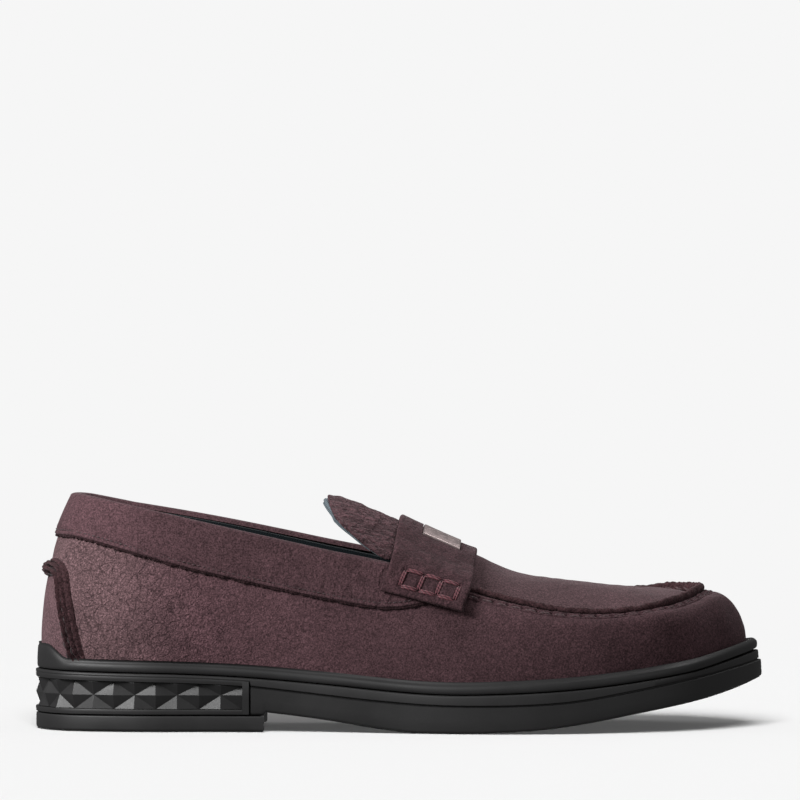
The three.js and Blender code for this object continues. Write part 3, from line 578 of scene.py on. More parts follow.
def cloth(name, base, pitch):
    """A plain weave along X and Z, seen from any side."""
    n = Nodes(name)
    waves = [n.math("SINE", n.math("MULTIPLY", n.axis(axis), 2 * math.pi / pitch), 0.0) for axis in "XYZ"]
    weave = n.product(waves[0], n.math("ADD", waves[1], waves[2]))
    tone = n.product(n.between(weave, -1.0, 1.0, 0.7, 1.3), n.vary(n.noise(60), 0.9, 1.1))
    n.set(base_color=n.times(base, tone), roughness=0.85, normal=n.bump(weave, 0.00012, 0.6))
    n.set(sheen_weight=0.08, specular_ior_level=0.2)
    return n.material


def waxed_thread(name, base):
    n = Nodes(name)
    inputs = {"Vector": n.scaled((1, 1, 1), (0.5, 0.7, 0.4)), "Scale": 260.0, "Distortion": 2.0}
    ply = n.add("ShaderNodeTexWave", inputs).outputs["Fac"]
    n.set(base_color=n.times(base, n.between(ply, 0.0, 1.0, 0.6, 1.25)), roughness=0.6)
    n.set(normal=n.bump(ply, 0.00015, 0.7), sheen_weight=0.1)
    return n.material


def brushed_metal(name, base, roughness):
    n = Nodes(name)
    lines = n.noise(900, 3.0, 0.6, n.scaled((0.04, 1.0, 0.04)))
    wear = n.noise(300, 3.0, 0.6)
    n.set(base_color=n.times(base, n.vary(lines, 0.85, 1.15)), metallic=0.85)
    n.set(roughness=n.vary(wear, roughness - 0.08, roughness + 0.1), normal=n.bump(lines, 0.00003, 0.5))
    return n.material


def fibre(name, base, scale):
    """Pressed board, cork or foam: speckled and rough."""
    n = Nodes(name)
    specks = n.cells(scale, "F1")
    tone = n.product(n.between(specks, 0.0, 0.9, 1.2, 0.7), n.vary(n.noise(scale * 0.2), 0.85, 1.15))
    n.set(base_color=n.times(base, tone), roughness=0.9, normal=n.bump(specks, 0.0002, 0.5))
    return n.material


AUBERGINE = (0.090, 0.047, 0.054, 1)
# the wall is paler at the heel, with painted light brighter there and darker towards the toe, and greyer
# over the heel for dust and painted sheen
WALL_LEATHER = nubuck("nubuck_wall", AUBERGINE, pebble=(1.0, 0.12), bloom_and_painted_light=(1.66, 0.82),
                      dust_and_sheen=(0.091, 0.054, 0.058, 1))
COLLAR_LEATHER = nubuck("nubuck_collar", AUBERGINE, pebble=(0.25, 0.35), nap=0.9, crease=0.8,
                        bloom_and_painted_light=(1.05, 0.82))
PATCH_LEATHER = nubuck("nubuck_patch", (0.125, 0.072, 0.080, 1), pebble=(0.2, 0.2), nap=0.8)
APRON_LEATHER = nubuck("nubuck_apron", (0.092, 0.052, 0.058, 1), pebble=(0.1, 0.1), nap=0.8)
STRAP_NUBUCK = nubuck("nubuck_strap", (0.062, 0.031, 0.036, 1), pebble=(0.3, 0.3), crease=0.4)
TONGUE_LEATHER = nubuck("nubuck_tongue", (0.098, 0.051, 0.058, 1), pebble=(0.5, 0.5), wrinkle=0.9)
RAW_EDGE = nubuck("nubuck_raw_edge", (0.052, 0.025, 0.028, 1), nap=1.7)
# painted shade: near-black nubuck for the shadow under the collar's lower edge
EDGE_IN_PAINTED_SHADE = nubuck("nubuck_edge_in_painted_shade", (0.028, 0.013, 0.015, 1), nap=1.4)
BLACK_RUBBER = rubber("black_rubber", (0.0155, 0.015, 0.0155, 1), 0.55)
STUD_RUBBER = rubber("stud_rubber", (0.018, 0.0175, 0.018, 1), 0.44)
TEAL_LINING = cloth("teal_lining", (0.006, 0.011, 0.014, 1), 0.0011)
PALE_LINING = cloth("pale_lining", (0.13, 0.16, 0.18, 1), 0.0009)
SEAM_THREAD = waxed_thread("seam_thread", (0.088, 0.046, 0.052, 1))
DARK_THREAD = waxed_thread("dark_thread", (0.05, 0.024, 0.028, 1))
SHADED_THREAD = waxed_thread("shaded_thread", (0.02, 0.0095, 0.011, 1))
BOX_THREAD = waxed_thread("box_thread", (0.14, 0.04, 0.052, 1))
PLATE_METAL = brushed_metal("plate_metal", (0.42, 0.34, 0.335, 1), 0.42)
STEEL = brushed_metal("plain_steel", (0.55, 0.55, 0.55, 1), 0.35)
BOARD = fibre("fibre_board", (0.33, 0.2, 0.1, 1), 900)
CORK = fibre("granulated_cork", (0.28, 0.15, 0.07, 1), 500)
FOAM = fibre("soft_foam", (0.05, 0.05, 0.055, 1), 1400)

# ------------------------------------------------------------------------------ sole

RAND_GAP = 0.45
RAND_HEIGHT = 5
TRAY_DEPTH = 3.2
TRAY_WALL = 3.2
BAND_SLOPE = 0.0012


def ring_columns(count, sharp_x):
    """Places round the loop, evenly spaced, with extra ones at sharp changes along the shoe."""
    extra = [float(sole_at_x(x, side)) % 1 for x in sharp_x for side in (LATERAL, MEDIAL)]
    even = [s for s in np.linspace(0, 1, count, endpoint=False) if all(abs(s - e) > 4e-4 for e in extra)]
    return np.array(sorted(even + extra))


def make_outsole():
    columns = ring_columns(560, [BAND_END_X, BAND_END_X + 0.5, BREAST_X - 0.2, BREAST_X + 0.6])
    edge_x = sole_curve(columns)[:, 0]
    in_band = edge_x < BAND_END_X + 0.25

    def bottom(x):
        return np.where(x < BREAST_X + 0.2, LIFT_HEIGHT + 0.35, sole_bottom_z(x))

    def groove(rise):
        return above(edge_groove_z, rise)

    def top(drop):
        return above(sole_top_z, -drop)

    recess = 3.6
    rows = [        # inset and height outside the stud band, then the same behind it
        (1.6, bottom, recess, bottom), (0.9, above(bottom, 0.08), recess, above(bottom, 0.3)),
        (0.45, above(bottom, 0.3), recess, above(bottom, 0.6)),
        (0.18, above(bottom, 0.7), recess, above(bottom, 1.2)),
        (0.05, above(bottom, 1.3), recess, above(bottom, 2)),
        (0, lambda x: mix(bottom(x), edge_groove_z(x), 0.5), recess, level(STUD_MIDDLE_Z)),
        (0, groove(-0.62), recess, top(1.5)), (0.18, groove(-0.42), recess, top(1.45)),
        (1.0, groove(-0.16), recess, top(1.4)), (1.0, groove(0.16), 0.25, top(1.35)),
        (0.18, groove(0.42), 0.06, top(1.3)), (0, groove(0.62), 0, top(1.15)),
    ]
    rings = []
    lean = 1.5 * smooth(250, 298, edge_x)
    for row, (inset, height, band_inset, band_height) in enumerate(rows):
        point = sole_edge(columns, np.where(in_band, band_inset, inset + lean * max(row - 4, 0) / 8))
        rings.append(with_z(point, np.where(in_band, band_height(point[:, 0]), height(point[:, 0]))))
    for inset, drop in [(0, 0.75), (0.1, 0.42), (0.35, 0.16), (0.75, 0), (3.4, 0)]:
        rings.append(sole_edge(columns, inset + lean, top(drop)))
    rings += [sole_edge(columns, ledge(edge_x) + TRAY_WALL, top(drop)) for drop in (0, TRAY_DEPTH)]
    points = np.stack(rings, 1)
    count, sides = points.shape[:2]
    faces = grid_faces(count, sides, rows_loop=True)
    faces.append([j * sides + sides - 1 for j in range(count)])
    return joined([(points, faces), make_tread(points[:, 0], bottom)])


def make_tread(rim, bottom):
    """The sole's underside, from the lateral to the medial half of its rim, with cross channels."""
    half = len(rim) // 2
    lateral = rim[:half + 1]
    medial = np.concatenate([rim[:1], rim[::-1]])[:half + 1]
    shares = np.concatenate([[0], np.linspace(0.02, 0.98, 40), [1]])
    grid = lateral[:, None] * (1 - shares[:, None]) + medial[:, None] * shares[:, None]
    x = grid[..., 0]
    width = np.linalg.norm(lateral - medial, axis=1)[:, None]
    inside = smooth(6, 8, shares * width) * smooth(6, 8, (1 - shares) * width)
    wave = x + 5 * np.cos((shares - 0.5) * 2.4)
    channel = smooth(0.55, 0.85, np.cos(wave * 2 * math.pi / 11))
    forepart = smooth(152, 154, x) * (1 - smooth(284, 286, x))
    interior = np.zeros_like(x)
    interior[1:-1, 1:-1] = 1
    z = mix(grid[..., 2], bottom(x) + 1.2 * channel * inside * forepart, interior)
    grid = with_z(grid, z)
    return grid, grid_faces(*grid.shape[:2])


def make_top_lift():
    ends = sole_at_x(BREAST_X, LATERAL), sole_at_x(BREAST_X, MEDIAL) - 1
    sides = sole_edge(np.linspace(ends[1], ends[0], 160), 0.2)
    q = np.linspace(0, 1, 30)[1:-1, None]
    middle = np.array([BREAST_X - 7, 0, 0])
    breast = (1 - q) ** 2 * sides[-1] + 2 * q * (1 - q) * middle + q * q * sides[0]
    outline = np.concatenate([sides, breast])
    tangent = unit(np.roll(outline, -1, 0) - np.roll(outline, 1, 0))
    inward = np.stack([-tangent[:, 1], tangent[:, 0], 0 * tangent[:, 0]], -1)
    steps = [(1.5, 0), (0.75, 0.12), (0.3, 0.4), (0.06, 0.85), (0, 1.3), (0, 5.9), (0.08, 6.2), (0.4, 6.45),
             (1, LIFT_HEIGHT)]
    rings = np.stack([with_z(outline + inward * inset, z) for inset, z in steps])
    count, corners = rings.shape[:2]
    faces = grid_faces(count, corners, columns_loop=True)
    faces += [list(range(corners)), [(count - 1) * corners + j for j in range(corners)]]
    return rings, faces


def heel_places(distances):
    """The places round the loop at distances from the back of the heel."""
    s = np.linspace(-0.22, 0.22, 4001)
    run = run_along(sole_curve(s))
    return np.interp(distances, run - np.interp(0, s, run), s)


def stud_foot(drop):
    """The height of the studs' lower edge, less a drop."""
    return lambda x: STUD_MIDDLE_Z - STUD_HALF_HEIGHT - drop - BAND_SLOPE * x


def make_studs():
    """Pyramids in a recessed band: peaks and valleys alternate, and each facet folds along its valleys."""
    columns = heel_places(np.linspace(-BAND_REACH, BAND_REACH, STUD_CELLS + 1))
    peak, valley, back = 0.1, 2.1, 3.3
    heights = [stud_foot(0), level(STUD_MIDDLE_Z), above(sole_top_z, -3.6)]
    points, faces = [], []
    for i, s in enumerate(columns):
        for j, height in enumerate(heights):
            points.append(sole_edge(s, peak if (i + j) % 2 else valley, height))
    outer = len(points)
    inner = sole_edge(columns, back)
    points += [with_z(inner[k // 3], points[k][2]) for k in range(outer)]
    for i in range(STUD_CELLS):
        for j in range(2):
            a, b, c, d = i * 3 + j, i * 3 + 3 + j, i * 3 + 4 + j, i * 3 + 1 + j
            faces += [[a, b, d], [b, c, d]] if (i + j) % 2 else [[a, b, c], [a, c, d]]
            faces.append([outer + a, outer + d, outer + c, outer + b])
        for a in (i * 3, i * 3 + 2):
            faces.append([a, a + 3, outer + a + 3, outer + a])
    for a in (0, 1, STUD_CELLS * 3, STUD_CELLS * 3 + 1):
        faces.append([a, a + 1, outer + a + 1, outer + a])
    return np.array(points), faces


def make_stud_frame():
    """The smooth strips above and below the studs, and the posts that close the band at its ends."""
    lift_top, band_top = level(LIFT_HEIGHT + 0.45), above(sole_top_z, -1.3)

    def strip(columns, low, high):
        corners = [(0.5, low), (0.16, above(low, 0.2)), (0.05, lambda x: mix(low(x), high(x), 0.5)),
                   (0.05, above(high, -0.2)), (0.15, high), (3.4, high), (3.4, low)]
        rows = [sole_edge(columns, inset, z) for inset, z in corners]
        return sweep(np.stack(rows + [rows[0] * 0.5 + rows[-1] * 0.5], 1))

    along = heel_places(np.linspace(-BAND_REACH, BAND_REACH, 260))
    parts = [strip(along, lift_top, stud_foot(0.15)), strip(along, above(sole_top_z, -3.45), band_top)]
    for end, edge in ((along[-1], sole_at_x(BAND_END_X - 0.3, LATERAL)),
                      (along[0], sole_at_x(BAND_END_X - 0.3, MEDIAL) - 1)):
        parts.append(strip(np.linspace(end, float(edge), 8), lift_top, band_top))
    return joined(parts)


def heel_tab(s):
    return 5.4 * (1 - smooth(0.030, 0.057, from_heel(s)))


def make_rand():
    columns = np.linspace(0, 1, 520, endpoint=False)
    base = sole_top_z(foot_point(columns)[:, 0]) + RAND_GAP
    rise = RAND_HEIGHT + heel_tab(columns)
    top = base + rise

    def inner_at(z):
        t = solve(lambda share: wall_face(columns, share)[:, 2], z, np.zeros(len(columns)), 0.6)
        return wall(columns, t, 0.45)

    low, high = inner_at(base + 0.2), inner_at(top - 0.6)
    outer = sole_edge(columns, 0.9, above(sole_top_z, RAND_GAP))
    shoulder = rand_shoulder(outer[:, 0])
    toe = 1.3 * smooth(262, 298, outer[:, 0])
    belly = 0.62 + toe
    crest = with_z(high + outward(columns) * 0.9, top)

    def face(inset, share, lift=0.0):
        return with_z(sole_edge(columns, inset), outer[:, 2] + rise * share + lift)

    def toward_crest(share, lift):
        return mix(face(shoulder, 1, -1.2), crest, share) + [0, 0, lift]

    rows = [
        face(1.5 + toe, 0), face(1.0 + toe, 0, 0.1), face(0.78 + toe, 0, 0.45), face(0.66 + toe, 0, 1.0),
        face(belly, 0.34), face(mix(belly, shoulder, 0.12), 0.55),
        face(mix(belly, shoulder, 0.42), 1, -1.75), face(mix(belly, shoulder, 0.8), 1, -1.32),
        toward_crest(0.15, 0.16), toward_crest(0.4, 0.3), toward_crest(0.7, 0.26),
        crest, mix(crest, high, 0.5) + [0, 0, 0.12], high, mix(high, low, 0.5), low,
    ]
    return sweep(np.stack(rows, 1), ring=True)


piece("sole_unit", make_outsole(), BLACK_RUBBER, replaces=["outsole"])
piece("heel_lift", make_top_lift(), BLACK_RUBBER, replaces=["heel_top_lift"])
studs = piece("heel_studs", make_studs(), STUD_RUBBER, replaces=["heel_stud_band"], crease=3)
bevel = studs.modifiers.new("soft edges", "BEVEL")
bevel.width, bevel.segments, bevel.limit_method, bevel.angle_limit = 0.00012, 2, "ANGLE", math.radians(4)
piece("heel_stud_frame", make_stud_frame(), BLACK_RUBBER)
piece("rubber_rand", make_rand(), BLACK_RUBBER, replaces=["storm_rand"])

# ----------------------------------------------------------------------- upper: walls

UNDERLAP = 0.12
SEAM_PITCH = 4.4
SEAM_HALF = 3.1
COLLAR_STITCH_UP = 1.9   # from the collar's lower edge
COLLAR_SHEET = 1.3
COLLAR_NOSE = 0.7        # radius of the lower edge
COLLAR_INSIDE = 3.0      # how far the collar reaches in over the top edge


def patch_side(t):
    """Half the heel patch's width at a share of the wall's height."""
    return mix(PATCH_FOOT_S, PATCH_TOP_S, t / PATCH_TOP)


def make_wall():
    columns = np.linspace(0, 1, 500, endpoint=False)
    slant = (PATCH_FOOT_S - from_heel(columns)) / (PATCH_FOOT_S - PATCH_TOP_S)
    low = PATCH_TOP * np.clip(slant, 0, 1)
    under_collar = np.minimum(1, collar_low(columns) + UNDERLAP)
    high = np.where(from_heel(columns) > 0.29, 1, under_collar)
    shares = np.linspace(0, 1, 54) ** 0.9
    t = low[:, None] + (high - low)[:, None] * shares
    flat = wall(columns[:, None], t)
    uneven = 0.22 * ripple(flat, 26, 3) + 0.1 * ripple(flat, 9, 4)
    settle = smooth(0, 0.12, shares) * (1 - smooth(0.9, 1, shares))
    front = wall(columns[:, None], t, uneven * settle)
    return sweep(thick(front, wall(columns[:, None], t[:, ::9], -LEATHER)), ring=True)


def make_heel_patch():
    shares = np.linspace(0, PATCH_TOP - 0.012, 40)
    s = np.linspace(-1, 1, 60)[:, None] * (patch_side(shares) - 0.0014)
    front = wall(s, shares, 0.15 * ripple(wall(s, shares), 22, 8))
    return sweep(thick(front, wall(s, shares, -LEATHER)))


def seam_path(count):
    """The heel seam in (s, t): up one side of the patch, round the corner and over its top."""
    foot, corner = np.array([PATCH_FOOT_S - 0.002, 0.045]), np.array([PATCH_TOP_S, PATCH_TOP])
    crown = np.array([0.0, PATCH_TOP + 0.012])
    before, after = mix(corner, foot, 0.13), mix(corner, crown, 0.32)
    q = np.linspace(0, 1, 24)[:, None]
    bend = (1 - q) ** 2 * before + 2 * q * (1 - q) * corner + q * q * after
    half = np.concatenate([mix(foot, before, np.linspace(0, 1, 30)[:-1, None]), bend,
                           mix(after, crown, np.linspace(0, 1, 16)[1:, None])])
    path = np.concatenate([half, (half[:-1] * [-1, 1])[::-1]])
    points = wall(path[:, 0], path[:, 1])
    run = run_along(points)
    even = np.linspace(0, run[-1], count)
    return np.interp(even, run, path[:, 0]), np.interp(even, run, path[:, 1]), even


def seam_frames(s, t):
    """Points on the wall along a path, with the directions square to it and outwards."""
    points, normal = lifted(s, t, 0)
    along = unit(np.gradient(points, axis=0))
    normal = unit(normal - along * np.sum(normal * along, axis=1, keepdims=True))
    return points, unit(np.cross(normal, along)), normal


def make_heel_seam():
    """Two raw leather edges that stand up side by side, with their thread between them."""
    s, t, run = seam_path(520)
    points, side, normal = seam_frames(s, t)
    rough = 0.14 * ripple(points, 2.6, 21) + 0.1 * ripple(points, 1.1, 22)
    pulled = 0.5 + 0.5 * np.cos(run * 2 * math.pi / SEAM_PITCH)
    over_back = 1 - smooth(7, 12, np.abs(run - run[-1] / 2))
    up_sides = 1 - over_back
    tapered = mix(0.35, 1, smooth(0.5, 4.5, np.minimum(run, run[-1] - run)))
    section = [     # millimetres across the seam, and how high it stands there
        (-4.3, -0.2), (-4.0, 1.1), (-3.6, 2.0), (-3.2, 2.2), (-2.8, 1.7), (-2.4, 0.5), (-2.0, 1.5),
        (-1.7, 2.8), (-1.4, 3.3), (-1.1, 3.0), (-0.8, 1.9), (-0.4, 0.5), (0, 0.5), (0.4, 2.1), (0.7, 3.3),
        (1.0, 3.7), (1.3, 3.3), (1.6, 1.6), (1.9, 0.4), (2.3, 0.3), (2.7, 0.4), (3.1, -0.2),
    ]
    rows = []
    for a, h in section:
        roll = SEAM_HALF * math.sqrt(max(1 - (a / SEAM_HALF) ** 2, 0)) - 0.2 + 0.25 * math.cos(a * 4.5)
        lift = mix(h - 0.6 * pulled * (1.5 < a < 2.6), roll, over_back) + rough * min(1, abs(h))
        shift = np.clip(a, -SEAM_HALF - 1.2 * up_sides, SEAM_HALF) - 0.8 * up_sides
        shift += 0.1 * ripple(points + a, 3.1, 23)
        rows.append(points + side * shift[:, None] + normal * (lift * tapered)[:, None])
    rows += [points + side * a - normal * 0.3 for a in (2.4, 0, -2.4)]
    rows.append(mix(rows[-1], rows[0], 0.5))
    return sweep(np.stack(rows, 1))


def make_heel_seam_stitches():
    s, t, run = seam_path(1200)
    points, side, normal = seam_frames(s, t)
    rows = [(2.0, 1.05, 0, 3.2, 0.42, 0.45), (-0.5, 1.2, 1, 4.4, 0.6, 0.5)]
    parts = []
    for across, lift, begin, end, radius, arch in rows:
        i, j = stitch_ends(run, 2.2, SEAM_PITCH, SEAM_PITCH, begin, end)
        raised = points + side * across + normal * lift
        parts.append(stitches(raised[i], raised[j], normal[i], radius, arch))
    return joined(parts)


def make_collar():
    """The collar wraps over the top edge and down the inside."""
    columns = np.linspace(-COLLAR_END, COLLAR_END, 460)
    low = collar_low(columns)
    line = wall_face(columns[:, None], mix(low[:, None], 1, np.linspace(0, 1, 200)))
    length = np.linalg.norm(np.diff(line, axis=1), axis=2).sum(1)
    nose = np.array([0, 0.05, 0.16, 0.38, 0.66, 1.0]) * COLLAR_NOSE
    rows = np.concatenate([np.repeat(nose[None], len(columns), 0),
                           np.linspace(0.9, length, 30).T.reshape(len(columns), -1)], 1)
    t = share_down(columns, length[:, None] - rows)
    near = np.clip(rows / COLLAR_NOSE, 0, 1)
    round_off = COLLAR_NOSE * (1 - np.sqrt(1 - (1 - near) ** 2))
    flat = wall(columns[:, None], t, COLLAR_AT)
    pucker = 0.16 * ripple(flat, 7, 31) * (1 - smooth(2, 7, rows)) + 0.2 * ripple(flat, 24, 32)
    stitched = -0.35 * np.exp(-((rows - COLLAR_STITCH_UP) / 0.5) ** 2)
    front = wall(columns[:, None], t, COLLAR_AT - round_off + pucker * smooth(0, 1, rows) + stitched)
    back = wall(columns[:, None], t, COLLAR_AT - 2 * COLLAR_NOSE + round_off + np.minimum(pucker, 0))
    top, inward, up = wall_face(columns, 1.0), -outward(columns), np.array([0, 0, 1.0])
    radius = (COLLAR_AT + COLLAR_INSIDE) / 2
    centre = top + inward * (COLLAR_INSIDE - radius)
    roll, under = [], []
    for turn in np.radians(np.linspace(20, 160, 9)):
        rise = 1.2 * math.sin(turn)
        roll.append(centre - inward * radius * math.cos(turn) + up * rise)
        inner = inward * (radius - COLLAR_SHEET) * math.cos(turn)
        under.append(centre - inner + up * (rise - COLLAR_SHEET))
    inside = top + inward * COLLAR_INSIDE
    for depth in np.linspace(0.15, 0.9, 4):
        lean = inward * (0.1 * depth + 0.5 * smooth(0, 1, depth))
        roll.append(inside + lean - up * depth)
        under.append(inside + lean - inward * (0.9 if depth < 0.8 else 0.5) - up * depth)
    front = np.concatenate([front[:, :-1], np.stack(roll, 1)], 1)
    back = np.concatenate([back[:, :-1], np.stack(under, 1)], 1)
    return sweep(thick(front, back))


def make_collar_fringe():
    """The collar's raw edge, which frays a little below its stitches, coloured near black as painted shade
    for the shadow under the collar's edge.
    """
    columns = np.linspace(-COLLAR_END + 0.001, COLLAR_END - 0.001, 1100)
    low = collar_low(columns)
    scale = wall_scale(columns, low)
    line = wall_face(columns, low)
    fray = 0.22 * ripple(line, 1.6, 33) + 0.2 * ripple(line, 5, 34)
    rows = []
    for down, out in [(-0.6, 0.3), (-0.6, 0.9), (0.35, 1.25), (0.75, 1.0), (0.85, 0.4), (0.6, -0.1)]:
        t = low - (down + fray * smooth(0, 0.7, down)) / scale
        rows.append(wall(columns, t, out + 0.5 * fray * (out > 0.8)))
    return sweep(np.stack(rows, 1))


def make_collar_stitches():
    columns = np.linspace(-COLLAR_END + 0.004, COLLAR_END - 0.004, 2400)
    low = collar_low(columns)
    t = low + COLLAR_STITCH_UP / wall_scale(columns, low)
    points, normal = lifted(columns, t, COLLAR_AT - 0.2)
    i, j = stitch_ends(run_along(points), 0.5, 2, 2.1, 0, 1.45)
    return stitches(points[i], points[j], normal[i], 0.24, 0.16)


def make_lining(start, end):
    columns = np.linspace(start, end, int(700 * (end - start)))
    rows = np.concatenate([np.linspace(0.5, 20, 14), np.linspace(24, 60, 8)])
    t = share_down(columns, rows)[:, ::-1]
    t = np.maximum.accumulate(np.concatenate([t[:, :1] * 0, t], 1), 1)
    t = t + np.arange(t.shape[1]) * 1e-5
    front, back = (wall(columns[:, None], t, distance) for distance in (LINING_AT, LINING_AT - 1))
    return sweep(thick(front, back))


piece("upper_wall", make_wall(), WALL_LEATHER, replaces=["vamp_wall"])
piece("heel_patch_leather", make_heel_patch(), PATCH_LEATHER, replaces=["heel_patch"])
piece("heel_seam", make_heel_seam(), RAW_EDGE, replaces=["heel_piping"], crease=60)
piece("heel_seam_stitches", make_heel_seam_stitches(), SHADED_THREAD)
piece("collar", make_collar(), COLLAR_LEATHER, replaces=["collar_band"], crease=60)
# the fringe's near-black colour is painted shade under the collar's edge
piece("collar_fringe", make_collar_fringe(), EDGE_IN_PAINTED_SHADE, crease=60)
piece("collar_stitches", make_collar_stitches(), DARK_THREAD, replaces=["collar_thread"])
piece("lining_quarter", make_lining(-0.2348, 0.2348), TEAL_LINING, replaces=["quarter_lining"])
piece("lining_vamp", make_lining(0.2351, 0.7649), TEAL_LINING, replaces=["vamp_lining"])

# ---------------------------------------------------------------------- upper: apron

STITCH_PITCH = 6.0
FOLD_REAR_X = 166
FOLD_DOWN = 2.4          # how far below the fold the stitch holes are


def inside_top(s, inset, rise):
    """A point in from the top edge, square to it in plan."""
    tangent = top_point(s + 1e-4) - top_point(s - 1e-4)
    inward = unit(np.stack([-tangent[..., 1], tangent[..., 0], 0 * tangent[..., 0]], -1))
    point = top_point(s) + inward * np.asarray(inset, float)[..., None]
    point[..., 2] += rise
    return point


def spine_point(x):
    sides = [top_point(top_edge_at_x(x, side))[..., 1] for side in (LATERAL, MEDIAL)]
    return np.stack([x, sum(sides) / 2, crown_z(x)], -1)


def apron_places():
    """Places along the apron's edge, from its lateral rear corner round the toe, and their spine points."""
    x = np.linspace(APRON_REAR_X, APRON_SPINE_END_X, 190)
    lateral, medial = top_edge_at_x(x, LATERAL), top_edge_at_x(x, MEDIAL)
    fan = np.linspace(lateral[-1], medial[-1], 200)[1:-1]
    s = np.concatenate([lateral, fan, medial[::-1]])
    return s, spine_point(np.concatenate([x, np.full(len(fan), APRON_SPINE_END_X), x[::-1]]))


def spine_wall(face, sides):
    """True for the faces between the last and the first corner, which meet inside the folded sheet."""
    return {v % sides for v in face} == {0, sides - 1}


def make_apron():
    """The plug and the lip round it, which is the plug's own edge, folded up and pinched by the stitches."""
    s, spine = apron_places()
    pinch = np.cos(run_along(top_point(s)) * 2 * math.pi / STITCH_PITCH)
    edge = inside_top(s, WELT_INSET, 0.35)

    def dome(rim, drop, shares):
        rows = []
        for v in shares:
            z = edge[:, 2] - drop + (spine[:, 2] - edge[:, 2]) * (1 - v ** 2.2)
            rows.append(with_z(mix(spine, rim, v), z))
        return np.stack(rows, 1)

    plug = dome(edge, 0, np.concatenate([np.linspace(0, 0.9, 24), [0.93, 0.96, 0.985]]))
    rise = 0.25 * ripple(plug, 30, 41) + 0.1 * ripple(plug, 8, 42)
    across = np.linspace(0, 1, plug.shape[1])
    plug[..., 2] += rise * smooth(0, 0.1, across) + pinch[:, None] * 0.14 * smooth(0.8, 0.98, across)
    under = dome(inside_top(s, 2.9, -0.5), 1.15, np.concatenate([[0.0], np.linspace(0.1, 1, 12)]))
    x = edge[:, 0]
    tall = smooth(170, 186, x)
    toe = smooth(245, 268, x)
    uneven = 0.35 * ripple(edge, 9, 43) + 0.28 * ripple(edge, 2.4, 44) + 0.2 * ripple(edge, 1.2, 45)
    lip = []
    for inset, height, loose in [
        (3.15, 1.0, 0.1), (2.9, 1.9, 0.4), (2.55, 2.8, 0.8), (2.0, 3.4, 1), (1.4, 3.65, 1), (0.8, 3.55, 1),
        (0.3, 3.15, 1), (0.0, 2.55, 0.9), (-0.05, 1.95, 0.7), (0.15, 1.4, 0.5), (0.6, 1.0, 0.2),
        (1.3, 0.75, 0), (2.2, 0.6, 0),
    ]:
        up = 0.45 + (height - 0.45) * tall * (1 + 0.3 * toe) + uneven * loose * 0.6 * tall
        lip.append(inside_top(s, inset + 0.18 * pinch * loose + 0.25 * uneven * loose, up))
    sections = thick(plug, under)
    points, faces = sweep(sections)
    count, sides = sections.shape[:2]
    faces = [f for f in faces[:(count - 1) * sides] if not spine_wall(f, sides)]
    faces += [[base + j for j in range(sides)] for base in (0, (count - 1) * sides)]
    return (points, faces), sweep(np.stack(lip, 1))


def fold_places(count):
    """Places along the wall's fold round the apron, and the distance along it."""
    s = np.linspace(*(top_edge_at_x(FOLD_REAR_X, side) for side in (LATERAL, MEDIAL)), count)
    return s, run_along(top_point(s))


def make_vamp_fold():
    """The wall's folded top edge round the apron, with the stitch holes pulled into it."""
    s, run = fold_places(760)
    down = np.array([0.0, 0.25, 0.55, 0.9, 1.3, 1.6, 1.85, 2.1, 2.35, 2.6, 2.85, 3.15, 3.5, 3.75, 3.95, 4.1])
    t = share_down(s, down)
    phase = np.abs((run / STITCH_PITCH + 0.5) % 1 - 0.5)[:, None] * STITCH_PITCH
    hole = np.exp(-((phase ** 2 + (down - FOLD_DOWN) ** 2) / 0.8 ** 2) ** 1.5)
    swell = 0.8 * np.exp(-((down - 1.3) / 0.9) ** 2) + 0.35 * smooth(0.2, 1, down)
    furrow = 0.3 * np.exp(-((down - FOLD_DOWN) / 0.4) ** 2)
    base = wall(s[:, None], t)
    rough = 0.09 * ripple(base, 2.4, 51) + 0.12 * ripple(base, 9, 52)
    fade = 1 - smooth(3.4, 4.1, down)
    offset = (swell + rough - furrow) * fade - 2.4 * hole + 0.1 - 0.5 * smooth(3.6, 4.1, down)
    front = wall(s[:, None], t, offset)
    back = wall(s[:, None], t, np.minimum(-0.6, offset - 0.3))
    top = front[:, 0]
    inward = unit(inside_top(s, 1, 0) - top_point(s))
    sheets = []
    for sheet, curl in ((front, ((1.9, 0.75), (1.3, 0.35), (0.6, 0.08))),
                        (back, ((1.7, 1.3), (1.2, 1.2), (0.7, 1.0)))):
        curled = np.stack([top + inward * a - [0, 0, b] for a, b in curl], 1)
        sheets.append(np.concatenate([curled, sheet], 1))
    return sweep(thick(*sheets))


def make_apron_stitches():
    s, run = fold_places(4000)
    t = share_down(s, np.array([FOLD_DOWN]))[:, 0]
    points, normal = lifted(s, t, 0.3)
    i, j = stitch_ends(run, STITCH_PITCH, STITCH_PITCH, STITCH_PITCH, 0.75, STITCH_PITCH - 0.75)
    outer = stitches(points[i], points[j], normal[i], 0.36, 0.34)
    inward = unit(inside_top(s, 1, 0) - top_point(s))
    lip = inside_top(s, 2.95, 1.3) + inward * 0.1
    inner = stitches(lip[i], lip[j] + [0, 0, 0.9], inward[i], 0.38, 0.35)
    return joined([outer, inner])


apron_shape, lip_shape = make_apron()
piece("apron", apron_shape, APRON_LEATHER, replaces=["apron_plug"], crease=60)
piece("apron_lip", lip_shape, RAW_EDGE, replaces=["apron_welt"], crease=60)
piece("vamp_fold", make_vamp_fold(), WALL_LEATHER, crease=60)
piece("apron_stitches", make_apron_stitches(), SEAM_THREAD, replaces=["apron_thread"])

# ---------------------------------------------------------------------- saddle strap

SADDLE_V, SADDLE_G = np.linspace(-0.1, 1.1, 61), np.linspace(-1.8, 1.8, 361)


